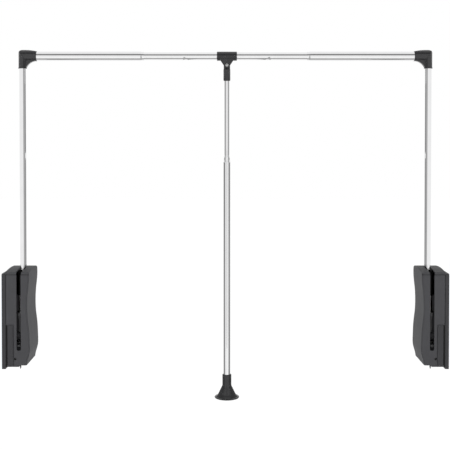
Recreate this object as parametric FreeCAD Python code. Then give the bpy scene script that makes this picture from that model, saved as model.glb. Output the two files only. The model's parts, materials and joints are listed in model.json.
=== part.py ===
import FreeCAD, Part
import math
import os

# Pull-down closet rod: two spring-assisted housings that screw to the sides of a wardrobe, two arms,
# a telescopic hanging rail between them and a telescopic handle that hangs from the rail.
# Millimetres. Origin: where the swing axis meets the left mounting face. +X runs along the rail to the
# right, +Z is up, and the front of the wardrobe is towards -Y.

V = FreeCAD.Vector
X_AXIS = V(1, 0, 0)
Y_AXIS = V(0, 1, 0)
Z_AXIS = V(0, 0, 1)

# ---- driving dimensions: the whole product ----
overall_width = 1186.0        # between the two mounting faces
arm_offset = 45.0             # mounting face to the arm's axis
rail_height = 759.0           # swing axis to the rail's axis
swing_angle = 100.0           # how far the arms come down to the front

# ---- housing ----
case_front = 63.0             # swing axis to the front face
case_back = 52.0              # swing axis to the back face
case_top = 187.5              # swing axis to the top of the crown
crown_drop_front = 5.5        # how much lower the top is at the front edge
crown_drop_back = 2.5         # and at the back edge
case_bottom = 70.0            # swing axis down to the bottom of the outer case
case_wall = 2.5
edge_round = 5.0              # front and back edges of the case, seen from the side
plate_depth = 10.0            # wall plate, as far as the outer case
plate_wall = 3.0
plate_lip = 5.0               # wall plate reaches this far below the case
plate_top_drop = 9.0          # and ends this far below the crown
rib_t = 2.0                   # stiffening ribs inside the wall plate and the covers
plate_ribs_z = (-30.0, 30.0, 70.0, 110.0)
seam_width = 2.2              # sunk seam of the case next to the plate
step_width = 3.6              # and the wider recessed band next to the lower cap
step_depth = 1.6
lap_width = 7.0               # the front wall is thicker here, behind seam and groove
lap_t = 1.6
cover_lift = 5.0              # inner cover ends this far above the case's bottom
slot_width = 11.5
slot_bottom = 26.0            # swing axis down to the lower end of the front slot
slot_round = 4.5              # its lower corners
slot_back = 13.5              # swing axis back to the end of the top slot
flare_width = 2.4             # bevel on each side of the slot in the top
flare_depth = 10.0
screw_hole_d = 5.5            # holes for the screws into the wardrobe's side
screw_spacing_y = 76.0
screw_spacing_z = 200.0
screw_center_y = -6.0
screw_center_z = 52.0
screw_boss_d = 13.0
cap_height = 107.0            # lower cap on the front of the outer case
cap_width = 14.8
cap_proud = 1.2
cap_groove = 1.8              # grooves beside and above the lower cap
cap_groove_depth = 1.4
cap_seam_depth = 2.8          # the groove on the plate's side is deeper
tab_x = 49.8                  # mounting face to the pointed tab under the inner cover
tab_width = 3.2
tab_length = 9.5
fix_screw_head_d = 6.4        # sunk screw low on the front that holds the case to its cover
fix_screw_d = 3.5
fix_screw_sunk = 1.8          # front face to the top of the head
fix_screw_seat = 3.6          # front face to the bottom of the head's recess
fix_screw_reach = 10.5        # front face to the screw's end
fix_screw_gap = 0.2
fix_screw_z = -48.0

# side profile of the inner cover: height above the swing axis, distance from the mounting face
cover_wave = [
    (-65.0, 65.6),
    (-50.0, 68.6),
    (-36.0, 72.6),
    (-8.0, 73.8),
    (34.0, 71.6),
    (64.0, 68.2),
    (92.0, 67.3),
    (124.0, 68.8),
    (152.0, 71.8),
    (172.0, 72.6),
    (190.0, 71.2),
]

# ---- arm ----
arm_d = 18.0
tube_wall = 1.2
arm_flat = 9.5                # thickness of the arm tube's flattened lower end
arm_flat_bottom = 140.0       # swing axis to the arm tube's lower end
arm_flat_top = 182.0
arm_round_from = 199.0
lever_hub_r = 16.0
lever_fit = 0.1               # between the lever's tongue and the inside of the tube
rivet_d = 5.0
rivet_head_d = 8.0
rivet_head = 0.6
rivet_z = (150.0, 170.0)
tongue_drop = 3.0             # the lever's tongue ends this far below the end of the flat
pocket_wall = 6.0             # web left around the pocket in the lever's bar
pocket_low = 12.0             # hub to the pocket
pocket_high = 18.0            # pocket to the tube's end

# ---- pivot and crank ----
axle_d = 10.0
bush_d = 14.0
bush_flange_d = 20.0
bush_flange = 1.0
running_fit = 0.05            # radial clearance of every running fit
axle_seat = 6.0               # depth of the blind seat of the axle in the wall plate's boss
boss_d = 20.0
crank_radius = 26.0
crank_pin_d = 12.0
crank_lobe_r = 10.0

# ---- carriage and gas spring ----
carriage_t = 8.0
carriage_x = 28.0             # middle of the carriage, from the mounting face
fork_play = 1.2               # the fork's play around the crank pin
fork_wall = 6.0
fork_tip_gap = 2.5            # between the fork's tips and the pivot boss
column_depth = 12.0
beam_bottom = 50.0            # swing axis to the carriage's upper beam
beam_t = 8.0
gusset_drop = 16.0
guide_gap = 0.3
guide_y = 41.0                # guide rib of the carriage on the wall plate
guide_rib = 6.0
guide_top = 59.0
spring_y = 33.0
spring_d = 18.0
spring_wall = 1.5
spring_bottom = 106.0
spring_neck = 4.0
spring_top = 176.0
rod_d = 8.0
rod_foot = 3.0                # how much wider and how thick the rod's foot is
piston_t = 6.0
piston_z = 120.0

# ---- stop for the upright arm ----
stop_d = 9.0
stop_z = 126.0
stop_gap = 0.3
stop_rib_t = 4.0
stop_rib_inset = 1.0          # slot's side to the rib's side
stop_length = 5.0

# ---- elbow ----
collar_r = 13.65
elbow_out = 10.6              # arm axis to the elbow's outer side
elbow_in = 38.9               # arm axis to the collar's rim
elbow_up = 16.9               # rail axis to the elbow's top
elbow_down = 33.5             # rail axis to the lower rim
elbow_corner_r = 12.0
socket_r = 10.5
spigot_length = 26.0
elbow_screw_d = 4.0
elbow_screw_head_d = 7.0
elbow_screw_head = 1.5
elbow_screw_drop = 22.0       # below the rail axis
elbow_seat_wall = 0.6         # arm tube to the flat seat of its screw
elbow_draft = 0.4             # how much the outer side leans in towards the lower rim
elbow_bend = 4.0              # arm axis to the end of the round of the elbow's outer side
elbow_lip = 3.0               # length of the raised rim around each opening
elbow_lip_rise = 0.9
elbow_web = 12.0              # thickness of the gusset between the two barrels
elbow_gusset = 7.7            # from both necks to the middle of the hollow between them
arm_in_elbow = 8.9            # rail axis down to the arm tube's upper end
spigot_wall = 3.6

# ---- rail ----
rail_d = 25.0
rail_neck_d = 23.2
rail_neck = 4.0
rail_taper = 6.0
rail_end = 220.0              # middle of the rail to the outer tubes' ends
core_d = 20.8
core_half = 305.0
guide_ring = 20.0             # guide on each end of the inner rail tube
guide_plug = 14.0
guide_wall = 2.5
guide_bevel = 2.0

# ---- tee and handle ----
tee_x = 4.0                   # the tee stands this far right of the rail's middle
tee_length = 54.4
tee_r = 12.3
tee_round = 1.7               # rounds of the sleeve's two ends
tee_fit = 0.1
ear_in = 5.5                  # inner face of each ear, from the middle
ear_t = 4.0
ear_top_half = 16.7
ear_end_r = 8.6
ear_bevel = 1.6               # along the ears' outer slanted edges
pin_drop = 24.5               # rail axis to the tee pin
tee_pin_d = 5.0
tee_pin_head_d = 8.0
tee_pin_head = 1.4
tee_pin_crown = 3.1           # radius at which the dome's slope gives way to its crown
tee_pin_side = 1.0            # how high the dome's slope rises
tongue_gap = 0.3
tongue_r = 8.6
socket_top = 34.5             # rail axis to the handle socket's shoulder
socket_bottom = 67.0
handle_socket_r = 9.4
socket_wall_top = 6.0
socket_bevel_top = 1.5
socket_bevel_low = 2.0
socket_pin_d = 3.2
socket_pin_inset = 0.2
upper_d = 14.0
upper_wall = 1.0
upper_length = 446.0
lower_d = 18.0
lower_wall = 1.0
lower_neck_d = 16.4
lower_neck = 5.0
lower_taper = 6.0
lower_top_drop = 270.5        # rail axis to the thick tube's upper end
lower_length = 633.0
hole_first = 28.0             # thick tube's upper end to its first hole
hole_pitch = 38.0
hole_count = 11
hole_d = 5.0
button_d = 4.6
button_up = 16.5              # thin tube's lower end to the snap button
button_body_d = 6.4
button_head = 3.0
button_bevel = 0.4
button_spring_gap = 0.6
button_spring_wall = 1.0
plug_wall = 1.5
plug_collar = 6.0             # part of the plug below the thin tube
plug_bevel = 1.0
grip_neck_r = 12.2
grip_neck = 30.0
grip_flare_r = 22.6
grip_flare_drop = 51.5
grip_rim_r = 33.3
grip_rim_drop = 60.0
grip_rim_t = 3.5
grip_rim_round = 2.0
grip_foot = 5.0               # rim to the dish underneath
grip_top_round = 1.5
grip_dish = 3.0
grip_socket = 40.0
grip_web = 3.5                # dish to the seat of the grip's screw
grip_screw_d = 5.0
grip_screw_head_d = 11.0
grip_screw_head = 3.0
grip_screw_side = 1.4
grip_screw_bevel = 1.6
grip_screw_gap = 0.3
grip_screw_grip = 14.0        # how far the screw goes into its plug
grip_plug_length = 18.0

# ---- values that follow ----
mid_x = overall_width / 2
arm_r = arm_d / 2
arm_flat_w = arm_flat + math.pi * (arm_d - arm_flat) / 2
plate_bottom = -case_bottom - plate_lip
cover_bottom = -case_bottom + cover_lift
crank_start = math.radians(-swing_angle / 2)
pin_y = crank_radius * math.cos(crank_start)
pin_z = crank_radius * math.sin(crank_start)
slot_near = arm_offset - slot_width / 2
lever_near = arm_offset - arm_flat / 2
lever_far = arm_offset + arm_flat / 2
pin_z_rail = rail_height - pin_drop
handle_x = mid_x + tee_x
cap_x = plate_depth + step_width + cap_groove
cap_top = -case_bottom + edge_round + cap_height
fix_screw_x = cap_x + cap_width + cap_groove + fix_screw_head_d / 2
axle_end = max(x for z, x in cover_wave) - 2 * case_wall
stop_rib_front = arm_flat_w / 2 + stop_gap + stop_length
elbow_screw_seat = arm_r + elbow_seat_wall
socket_pin_r = socket_pin_d / 2
socket_pin_z = rail_height - (socket_top + socket_wall_top + socket_bottom) / 2
grip_top = rail_height - lower_top_drop - lower_length + grip_socket
grip_low = grip_top - grip_rim_drop - grip_rim_t
grip_screw_seat = grip_low + grip_dish + grip_web
upper_top = rail_height - socket_top - socket_wall_top
upper_bottom = upper_top - upper_length
button_z = upper_bottom + button_up


# ---- small helpers ----
def box(x0, x1, y0, y1, z0, z1):
    return Part.makeBox(x1 - x0, y1 - y0, z1 - z0, V(x0, y0, z0))


def rod_x(r, x0, x1, y=0.0, z=0.0):
    return Part.makeCylinder(r, x1 - x0, V(x0, y, z), X_AXIS)


def rod_y(r, y0, y1, x=0.0, z=0.0):
    return Part.makeCylinder(r, y1 - y0, V(x, y0, z), Y_AXIS)


def rod_z(r, z0, z1, x=0.0, y=0.0):
    return Part.makeCylinder(r, z1 - z0, V(x, y, z0), Z_AXIS)


def line(a, b):
    return Part.LineSegment(a, b).toShape()


def arc(a, b, c):
    return Part.Arc(a, b, c).toShape()


def face_of(edges):
    return Part.Face(Part.Wire(edges))


def turned(profile, x=0.0, y=0.0, z=0.0, axis=Z_AXIS):
    """Solid of revolution of (radius, height) pairs about an axis through (x, y, z)."""
    points = [V(r, 0, h) for r, h in profile]
    solid = Part.Face(Part.makePolygon(points + points[:1])).revolve(V(0, 0, 0), Z_AXIS, 360)
    turn = FreeCAD.Rotation(Z_AXIS, axis)
    solid.Placement = FreeCAD.Placement(V(x, y, z), turn)
    return solid


def edges_along(shape, axis, test):
    """Straight edges of a shape that run along an axis and whose middle passes a test."""
    found = []
    for edge in shape.Edges:
        if not isinstance(edge.Curve, Part.Line):
            continue
        if abs(abs(edge.tangentAt(edge.FirstParameter).dot(axis)) - 1) > 1e-6:
            continue
        if test(edge.CenterOfMass):
            found.append(edge)
    return found


# ---- housing ----
def side_profile(x, inset):
    """Face of the housing's outline seen from the side, with its crowned top, moved in by a wall."""
    front = -case_front + inset
    back = case_back - inset
    bottom = -case_bottom + inset
    top_front = V(x, front, case_top - crown_drop_front - inset)
    top_mid = V(x, 0, case_top - inset)
    top_back = V(x, back, case_top - crown_drop_back - inset)
    low_front = V(x, front, bottom)
    low_back = V(x, back, bottom)
    return face_of(
        [
            line(low_front, top_front),
            arc(top_front, top_mid, top_back),
            line(top_back, low_back),
            line(low_back, low_front),
        ]
    )


def housing_slice(x0, x1, inset, rounding):
    """Stretch of the housing's outline from x0 to x1, with its long edges rounded."""
    solid = side_profile(x0, inset).extrude(V(x1 - x0, 0, 0))
    return solid.makeFillet(rounding, edges_along(solid, X_AXIS, lambda p: True))


def slot_cutter():
    """The slot that the arm swings in: through the front wall and over the top, bevelled there."""
    half = slot_width / 2
    near = arm_offset - half
    far = arm_offset + half
    reach = case_top + flare_depth
    narrow = box(near, far, -case_front - 5, -case_front + 3 * case_wall, -slot_bottom, reach)
    narrow = narrow.makeFillet(slot_round, edges_along(narrow, Y_AXIS, lambda p: p.z < 0))
    over_bottom = case_top - crown_drop_front - 4 * case_wall
    over = box(near, far, -case_front - 5, slot_back, over_bottom, reach)
    flare_bottom = case_top - crown_drop_front - flare_depth
    flare_top = case_top + 1
    wedge = Part.Face(
        Part.makePolygon(
            [
                V(near, -case_front - 5, flare_bottom),
                V(far, -case_front - 5, flare_bottom),
                V(far + flare_width, -case_front - 5, flare_top),
                V(near - flare_width, -case_front - 5, flare_top),
                V(near, -case_front - 5, flare_bottom),
            ]
        )
    ).extrude(V(0, case_front + 5 + slot_back, 0))
    return narrow.fuse([over, wedge])


def screw_places():
    """Centres of the four holes for the screws into the wardrobe's side."""
    return [
        (screw_center_y + sy * screw_spacing_y / 2, screw_center_z + sz * screw_spacing_z / 2)
        for sy in (-1, 1)
        for sz in (-1, 1)
    ]


def make_wall_plate():
    """Moulded tray that screws to the wardrobe and carries the pivot boss and the carriage's guides."""
    y0 = -case_front + 1
    z1 = case_top - plate_top_drop
    slab = box(0, plate_depth, y0, case_back, plate_bottom, z1)
    slab = slab.makeFillet(edge_round, edges_along(slab, X_AXIS, lambda p: p.z > 0))
    hollow = box(
        plate_wall,
        plate_depth + 1,
        y0 + case_wall,
        case_back - case_wall,
        -case_bottom + case_wall,
        z1 - case_wall,
    )
    plate = slab.cut(hollow.makeFillet(edge_round - 1, edges_along(hollow, X_AXIS, lambda p: True)))
    boss = rod_x(boss_d / 2, plate_wall - 1, lever_near - bush_flange)
    guide = box(
        plate_wall - 1,
        carriage_x - carriage_t / 2 - guide_gap,
        guide_y,
        guide_y + guide_rib,
        -case_bottom + case_wall + edge_round,
        guide_top,
    )
    ribs = [
        box(plate_wall - 1, plate_depth - 2, y0 + 1, case_back - 1, z - rib_t / 2, z + rib_t / 2)
        for z in plate_ribs_z
    ]
    bosses = [
        rod_x(screw_boss_d / 2, plate_wall - 1, plate_depth - 1, y, z) for y, z in screw_places()
    ]
    plate = plate.fuse([boss, guide] + ribs + bosses)
    holes = [rod_x(screw_hole_d / 2, -1, plate_depth, y, z) for y, z in screw_places()]
    seat = rod_x(axle_d / 2, axle_seat, lever_near)
    return plate.cut(Part.makeCompound(holes)).cut(seat)


def make_outer_case():
    """Outer half of the housing: a band of front, top, back and bottom walls, open towards both sides."""
    shell = housing_slice(plate_depth, arm_offset, 0, edge_round)
    inner_round = edge_round - case_wall / 2
    shell = shell.cut(housing_slice(plate_depth - 1, arm_offset + 1, case_wall, inner_round))
    lap_back = -case_front + case_wall + lap_t
    lap_low = -case_bottom + case_wall / 2
    lap_high = case_top - crown_drop_front - edge_round
    lap = box(plate_depth, plate_depth + lap_width, -case_front + 1, lap_back, lap_low, lap_high)
    shell = shell.fuse([lap, spring_seat(), stop_rib()]).cut(Part.makeCompound(case_grooves()))
    stem_end = stop_rib_front + stop_rib_t + 1
    shell = shell.cut(rod_y(stop_d / 4, stop_rib_front - 1, stem_end, arm_offset, stop_z))
    head_r = fix_screw_head_d / 2 + fix_screw_gap
    shell = shell.fuse(fix_screw_boss())
    head_seat = -case_front + fix_screw_seat
    shell = shell.cut(rod_y(head_r, -case_front - 1, head_seat, fix_screw_x, fix_screw_z))
    shank_end = -case_front + fix_screw_reach
    shell = shell.cut(rod_y(fix_screw_d / 2, -case_front - 1, shank_end, fix_screw_x, fix_screw_z))
    return shell.cut(slot_cutter())


def case_grooves():
    """Cutters for the seam next to the plate, the recessed band and the grooves around the lower cap."""
    front = -case_front - 1
    low = -case_bottom + edge_round
    seam_top = case_top - crown_drop_front - edge_round
    band = plate_depth + step_width
    end = cap_x + cap_width + cap_groove
    seam_y = -case_front + cap_seam_depth
    band_y = -case_front + step_depth
    groove_y = -case_front + cap_groove_depth
    return [
        box(plate_depth - 1, plate_depth + seam_width, front, seam_y, cap_top, seam_top),
        box(plate_depth - 1, band, front, band_y, -case_bottom - 1, cap_top),
        box(band, cap_x, front, seam_y, low, cap_top),
        box(plate_depth + seam_width, end, front, groove_y, cap_top, cap_top + cap_groove),
        box(end - cap_groove, end, front, groove_y, low, cap_top),
    ]


def spring_seat():
    """Pad under the outer case's top wall that the gas spring's upper end stands against."""
    r = spring_d / 2
    seat_top = case_top - crown_drop_back - case_wall / 2
    return box(carriage_x - r, carriage_x + r, spring_y - r, spring_y + r, spring_top, seat_top)


def stop_rib():
    """Rib behind the upright arm that holds the rubber stop, cut back past the parting plane."""
    low = stop_z - stop_d
    high = stop_z + stop_d
    far = arm_offset + slot_width / 2
    rib = box(slot_near + stop_rib_inset, far, stop_rib_front, case_back - case_wall / 2, low, high)
    relief_y = case_back - case_wall - guide_gap
    return rib.cut(box(arm_offset, far + 1, relief_y, case_back, low - 1, high + 1))


def fix_screw_boss():
    """Boss behind the front wall for the screw low on the front."""
    start = -case_front + case_wall / 2
    end = -case_front + fix_screw_reach
    return rod_y((fix_screw_head_d + case_wall) / 2, start, end, fix_screw_x, fix_screw_z)


def make_lower_cap():
    """Clip-in panel on the lower part of the outer case's front."""
    low = -case_bottom + edge_round
    panel = box(cap_x, cap_x + cap_width, -case_front - cap_proud, -case_front, low, cap_top)
    front = edges_along(panel, Z_AXIS, lambda p: p.y < -case_front - cap_proud / 2)
    return panel.makeFillet(cap_proud * 0.8, front)


def wave_face(offset, y):
    """Face between the parting plane and the inner cover's wavy side, seen from the front."""
    points = [V(x - offset, y, z) for z, x in cover_wave]
    curve = Part.BSplineCurve()
    curve.interpolate(points)
    low = V(arm_offset - 1, y, cover_wave[0][0])
    high = V(arm_offset - 1, y, cover_wave[-1][0])
    return face_of([curve.toShape(), line(points[-1], high), line(high, low), line(low, points[0])])


def make_inner_cover():
    """Inner half of the housing, a shell with a wavy side, open towards the outer case."""
    far = max(x for z, x in cover_wave) + 5
    wave = wave_face(0, -case_front - 1).extrude(V(0, case_front + case_back + 2, 0))
    limit = box(arm_offset, far, -case_front, case_back, cover_bottom, case_top + 1)
    body = housing_slice(arm_offset, far, 0, edge_round).common(wave).common(limit)
    # the round of the wavy rim runs over the crown, so it is a little smaller than the edges it crosses
    rim = [
        e for e in body.Edges
        if e.BoundBox.XMin > arm_offset + edge_round and e.BoundBox.ZMax > cover_bottom + 1
    ]
    body = body.makeFillet(0.9 * edge_round, rim)
    inner = housing_slice(arm_offset - 1, far, case_wall, edge_round - case_wall / 2)
    inner_depth = case_front + case_back - 2 * case_wall
    hollow = wave_face(case_wall, -case_front + case_wall).extrude(V(0, inner_depth, 0))
    hollow = hollow.common(inner)
    floor = box(arm_offset - 1, far, -case_front, case_back, -case_bottom - 1, cover_bottom + case_wall)
    cover = body.cut(hollow.cut(floor))
    boss = rod_x(boss_d / 2, lever_far + bush_flange, axle_end + 1.5 * case_wall)
    cover = cover.fuse([boss, cover_tab()])
    cover = cover.cut(rod_x(axle_d / 2, lever_far, axle_end))
    return cover.cut(slot_cutter())


def cover_tab():
    """Small pointed tab that hangs below the inner cover's front wall."""
    half = tab_width / 2
    top = cover_bottom + case_wall
    return Part.Face(
        Part.makePolygon(
            [
                V(tab_x - half, -case_front, top),
                V(tab_x - half, -case_front, cover_bottom - tab_length / 2),
                V(tab_x, -case_front, cover_bottom - tab_length),
                V(tab_x + half, -case_front, cover_bottom - tab_length / 2),
                V(tab_x + half, -case_front, top),
                V(tab_x - half, -case_front, top),
            ]
        )
    ).extrude(V(0, case_wall, 0))


def make_fix_screw():
    """Pan-head screw low on the front."""
    seat = -case_front + fix_screw_seat
    top = -case_front + fix_screw_sunk
    head = rod_y(fix_screw_head_d / 2, top, seat, fix_screw_x, fix_screw_z)
    shank = rod_y(fix_screw_d / 2, seat, -case_front + fix_screw_reach, fix_screw_x, fix_screw_z)
    return head.fuse(shank)


# ---- pivot ----
def make_axle():
    return rod_x(axle_d / 2, axle_seat, axle_end)


def make_bushes():
    """Two flanged bushes, pressed into the lever's hub from both sides."""
    shapes = []
    for sleeve_x, flange_x in ((lever_near, lever_near - bush_flange), (arm_offset, lever_far)):
        sleeve = rod_x(bush_d / 2, sleeve_x, sleeve_x + arm_flat / 2)
        flange = rod_x(bush_flange_d / 2, flange_x, flange_x + bush_flange)
        bush = sleeve.fuse(flange)
        shapes.append(bush.cut(rod_x(axle_d / 2 + running_fit, 0, 2 * arm_offset)))
    return Part.makeCompound(shapes)


def make_lever():
    """Flat lever from the hub up into the flattened tube, with a lobe for the crank pin."""
    half = arm_flat_w / 2
    hub = rod_x(lever_hub_r, lever_near, lever_far)
    bar = box(lever_near, lever_far, -half, half, 0, arm_flat_bottom)
    lobe = rod_x(crank_lobe_r, lever_near, lever_far, pin_y, pin_z)
    web = lobe_web()
    inset = tube_wall + lever_fit
    tongue_top = arm_flat_top - tongue_drop
    tongue = box(
        lever_near + inset, lever_far - inset, inset - half, half - inset, arm_flat_bottom - 1, tongue_top
    )
    tongue_round = arm_flat / 2 - inset - lever_fit
    tongue = tongue.makeFillet(tongue_round, edges_along(tongue, Z_AXIS, lambda p: True))
    lever = hub.fuse([bar, lobe, web, tongue])
    lever = lever.cut(rod_x(bush_d / 2, 0, 2 * arm_offset))
    lever = lever.cut(rod_x(crank_pin_d / 2, 0, 2 * arm_offset, pin_y, pin_z))
    # lightening pocket in the bar, open to both sides
    pocket_half = half - pocket_wall
    pocket_bottom = lever_hub_r + pocket_low
    pocket_top = arm_flat_bottom - pocket_high
    pocket = box(lever_near - 1, lever_far + 1, -pocket_half, pocket_half, pocket_bottom, pocket_top)
    pocket = pocket.makeFillet(0.9 * pocket_half, edges_along(pocket, X_AXIS, lambda p: True))
    lever = lever.cut(pocket)
    return lever.cut(Part.makeCompound([rod_x(rivet_d / 2, 0, 2 * arm_offset, 0, z) for z in rivet_z]))


def lobe_web():
    """Web between the hub and the crank lobe, along their common tangents."""
    angle = math.atan2(pin_z, pin_y)
    lean = math.acos((lever_hub_r - crank_lobe_r) / crank_radius)
    corners = []
    for side in (1, -1):
        a = angle + side * lean
        corners.append((lever_hub_r * math.cos(a), lever_hub_r * math.sin(a)))
        corners.append((pin_y + crank_lobe_r * math.cos(a), pin_z + crank_lobe_r * math.sin(a)))
    order = [corners[0], corners[1], corners[3], corners[2], corners[0]]
    return Part.Face(Part.makePolygon([V(lever_near, y, z) for y, z in order])).extrude(V(arm_flat, 0, 0))


def make_crank_pin():
    """Pin pressed into the lobe, reaching through the carriage's fork."""
    near = carriage_x - carriage_t / 2 + guide_gap
    return rod_x(crank_pin_d / 2, near, lever_far, pin_y, pin_z)


# ---- carriage and gas spring ----
def make_carriage():
    """Upright slide with an open fork for the crank pin and a beam under the gas spring."""
    x0 = carriage_x - carriage_t / 2
    x1 = carriage_x + carriage_t / 2
    back = case_back - case_wall - guide_gap
    column_y = back - column_depth
    tip_y = boss_d / 2 + fork_tip_gap
    gap = crank_pin_d / 2 + fork_play
    low = pin_z - gap - fork_wall
    column = box(x0, x1, column_y, back, low, beam_bottom + beam_t)
    prongs = [
        box(x0, x1, tip_y, column_y + 1, low, pin_z - gap),
        box(x0, x1, tip_y, column_y + 1, pin_z + gap, pin_z + gap + fork_wall),
    ]
    beam = box(x0, x1, spring_y - rod_d, back, beam_bottom, beam_bottom + beam_t)
    gusset = Part.Face(
        Part.makePolygon(
            [
                V(x0, spring_y - rod_d, beam_bottom + 1),
                V(x0, column_y + 1, beam_bottom + 1),
                V(x0, column_y + 1, beam_bottom - gusset_drop),
                V(x0, spring_y - rod_d, beam_bottom + 1),
            ]
        )
    ).extrude(V(carriage_t, 0, 0))
    return column.fuse(prongs + [beam, gusset])


def make_spring_cylinder():
    """Gas spring's cylinder with a rolled-in neck at its lower end and a stud at the top."""
    r = spring_d / 2
    bore = r - spring_wall
    neck = rod_d / 2 + running_fit
    top_in = spring_top - spring_neck
    profile = [
        (neck, spring_bottom),
        (r - 2.5, spring_bottom),
        (r, spring_bottom + 2.5),
        (r, spring_top - 2),
        (r - 2, spring_top),
        (0, spring_top),
        (0, top_in),
        (bore, top_in),
        (bore, spring_bottom + spring_neck),
        (neck, spring_bottom + spring_neck),
    ]
    return turned(profile, carriage_x, spring_y)


def make_spring_rod():
    """Gas spring's rod with its piston, standing on the carriage's beam."""
    bore = spring_d / 2 - spring_wall
    foot = beam_bottom + beam_t
    profile = [
        (0, foot),
        (rod_d / 2 + rod_foot, foot),
        (rod_d / 2 + rod_foot, foot + rod_foot),
        (rod_d / 2, foot + 2 * rod_foot),
        (rod_d / 2, piston_z),
        (bore - running_fit, piston_z),
        (bore - running_fit, piston_z + piston_t),
        (0, piston_z + piston_t),
    ]
    return turned(profile, carriage_x, spring_y)


def make_stop():
    """Rubber buffer with a stem through the stop rib."""
    head = rod_y(stop_d / 2, stop_rib_front - stop_length, stop_rib_front, arm_offset, stop_z)
    stem = rod_y(stop_d / 4, stop_rib_front, stop_rib_front + stop_rib_t, arm_offset, stop_z)
    return head.fuse(stem)


# ---- arm ----
def stadium(thick, wide, z, x):
    """Wire of a flattened tube: two straight sides and two round ends."""
    r = thick / 2
    s = wide / 2 - r
    p = [V(x - r, -s, z), V(x + r, -s, z), V(x + r, s, z), V(x - r, s, z)]
    return Part.Wire(
        [
            arc(p[0], V(x, -wide / 2, z), p[1]),
            line(p[1], p[2]),
            arc(p[2], V(x, wide / 2, z), p[3]),
            line(p[3], p[0]),
        ]
    )


def ring(r, z, x):
    """Circle in four arcs that start where a flattened section's sides do."""
    q = r * math.sqrt(0.5)
    p = [V(x - q, -q, z), V(x + q, -q, z), V(x + q, q, z), V(x - q, q, z)]
    return Part.Wire(
        [
            arc(p[0], V(x, -r, z), p[1]),
            arc(p[1], V(x + r, 0, z), p[2]),
            arc(p[2], V(x, r, z), p[3]),
            arc(p[3], V(x - r, 0, z), p[0]),
        ]
    )


def arm_form(inset, z_low, z_high):
    """Outer or inner form of the arm tube: flat foot, transition and round shaft."""
    thick = arm_flat - 2 * inset
    wide = arm_flat_w - 2 * inset
    foot = Part.Face(stadium(thick, wide, z_low, arm_offset)).extrude(V(0, 0, arm_flat_top - z_low))
    flat_end = stadium(thick, wide, arm_flat_top, arm_offset)
    round_end = ring(arm_r - inset, arm_round_from, arm_offset)
    change = Part.makeLoft([flat_end, round_end], True)
    shaft = rod_z(arm_r - inset, arm_round_from, z_high, arm_offset)
    return foot.fuse([change, shaft])


def make_arm_tube():
    """Chromed tube, round for most of its length and squeezed flat where it takes the lever's tongue."""
    top = rail_height - arm_in_elbow
    tube = arm_form(0, arm_flat_bottom, top).cut(arm_form(tube_wall, arm_flat_bottom - 1, top + 1))
    tube = tube.cut(Part.makeCompound([rod_x(rivet_d / 2, 0, 2 * arm_offset, 0, z) for z in rivet_z]))
    z = rail_height - elbow_screw_drop
    return tube.cut(rod_y(elbow_screw_d / 2, 0, 2 * arm_r, arm_offset, z))


def make_rivets():
    """Two rivets through the tube's flat foot and the tongue."""
    head = [(0, 0), (rivet_head_d / 2, 0), (rivet_head_d / 3, rivet_head), (0, rivet_head)]
    rivets = []
    for z in rivet_z:
        shank = rod_x(rivet_d / 2, lever_near, lever_far, 0, z)
        heads = [turned(head, lever_far, 0, z, X_AXIS), turned(head, lever_near, 0, z, X_AXIS * -1)]
        rivets.append(shank.fuse(heads))
    return Part.makeCompound(rivets)


# ---- elbow ----
def make_elbow():
    """Corner connector: a barrel for the rail, one for the arm, a web between them and two raised rims."""
    end = arm_offset + elbow_in
    rim = rail_height - elbow_down
    outline = elbow_front().common(elbow_plan())
    upright = Part.makeCone(socket_r, collar_r, elbow_down, V(arm_offset, 0, rim), Z_AXIS)
    half = elbow_web / 2
    web = box(arm_offset, end, -half, half, rim, rail_height)
    body = elbow_barrel().fuse([upright, web]).common(outline)
    lips = [
        rod_x(collar_r, end - elbow_lip, end, 0, rail_height),
        rod_z(socket_r + elbow_lip_rise, rim, rim + elbow_lip, arm_offset),
    ]
    spigot = rod_x(rail_d / 2 - tube_wall, end - 1, end + spigot_length, 0, rail_height)
    hole = rod_x(rail_d / 2 - tube_wall - spigot_wall, end, end + spigot_length + 1, 0, rail_height)
    body = body.fuse(lips + [spigot]).cut(hole)
    arm_end = rail_height - arm_in_elbow
    body = body.cut(rod_z(arm_r, rail_height - elbow_down - 1, arm_end, arm_offset))
    for x, height in elbow_screws():
        body = body.cut(rod_y(elbow_screw_d / 2, 0, 2 * collar_r, x, height))
    x, height = elbow_screws()[0]
    return body.cut(rod_y(elbow_screw_head_d / 2, elbow_screw_seat, 2 * collar_r, x, height))


def elbow_front():
    """The elbow's outline seen from the front: round outer corner, sloping top, collar and gusset."""
    y = -2 * collar_r
    outer = arm_offset - elbow_out
    inner = arm_offset + socket_r
    end = arm_offset + elbow_in
    top = rail_height + elbow_up
    rim = rail_height - elbow_down
    neck_r = collar_r - elbow_lip_rise
    collar_high = rail_height + neck_r
    collar_low = rail_height - neck_r
    corner = 0.3 * elbow_corner_r
    return face_of(
        [
            line(V(outer + elbow_draft, y, rim), V(outer, y, top - elbow_corner_r)),
            arc(
                V(outer, y, top - elbow_corner_r),
                V(outer + corner, y, top - corner),
                V(outer + elbow_corner_r, y, top),
            ),
            arc(
                V(outer + elbow_corner_r, y, top),
                V((outer + elbow_corner_r + end) / 2, y, top - (top - collar_high) / 4),
                V(end, y, collar_high),
            ),
            line(V(end, y, collar_high), V(end, y, collar_low)),
            arc(
                V(end, y, collar_low),
                V(inner + elbow_gusset, y, collar_low - elbow_gusset),
                V(inner, y, rim + elbow_lip),
            ),
            line(V(inner, y, rim + elbow_lip), V(inner, y, rim)),
            line(V(inner, y, rim), V(outer + elbow_draft, y, rim)),
        ]
    ).extrude(V(0, 4 * collar_r, 0))


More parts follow.
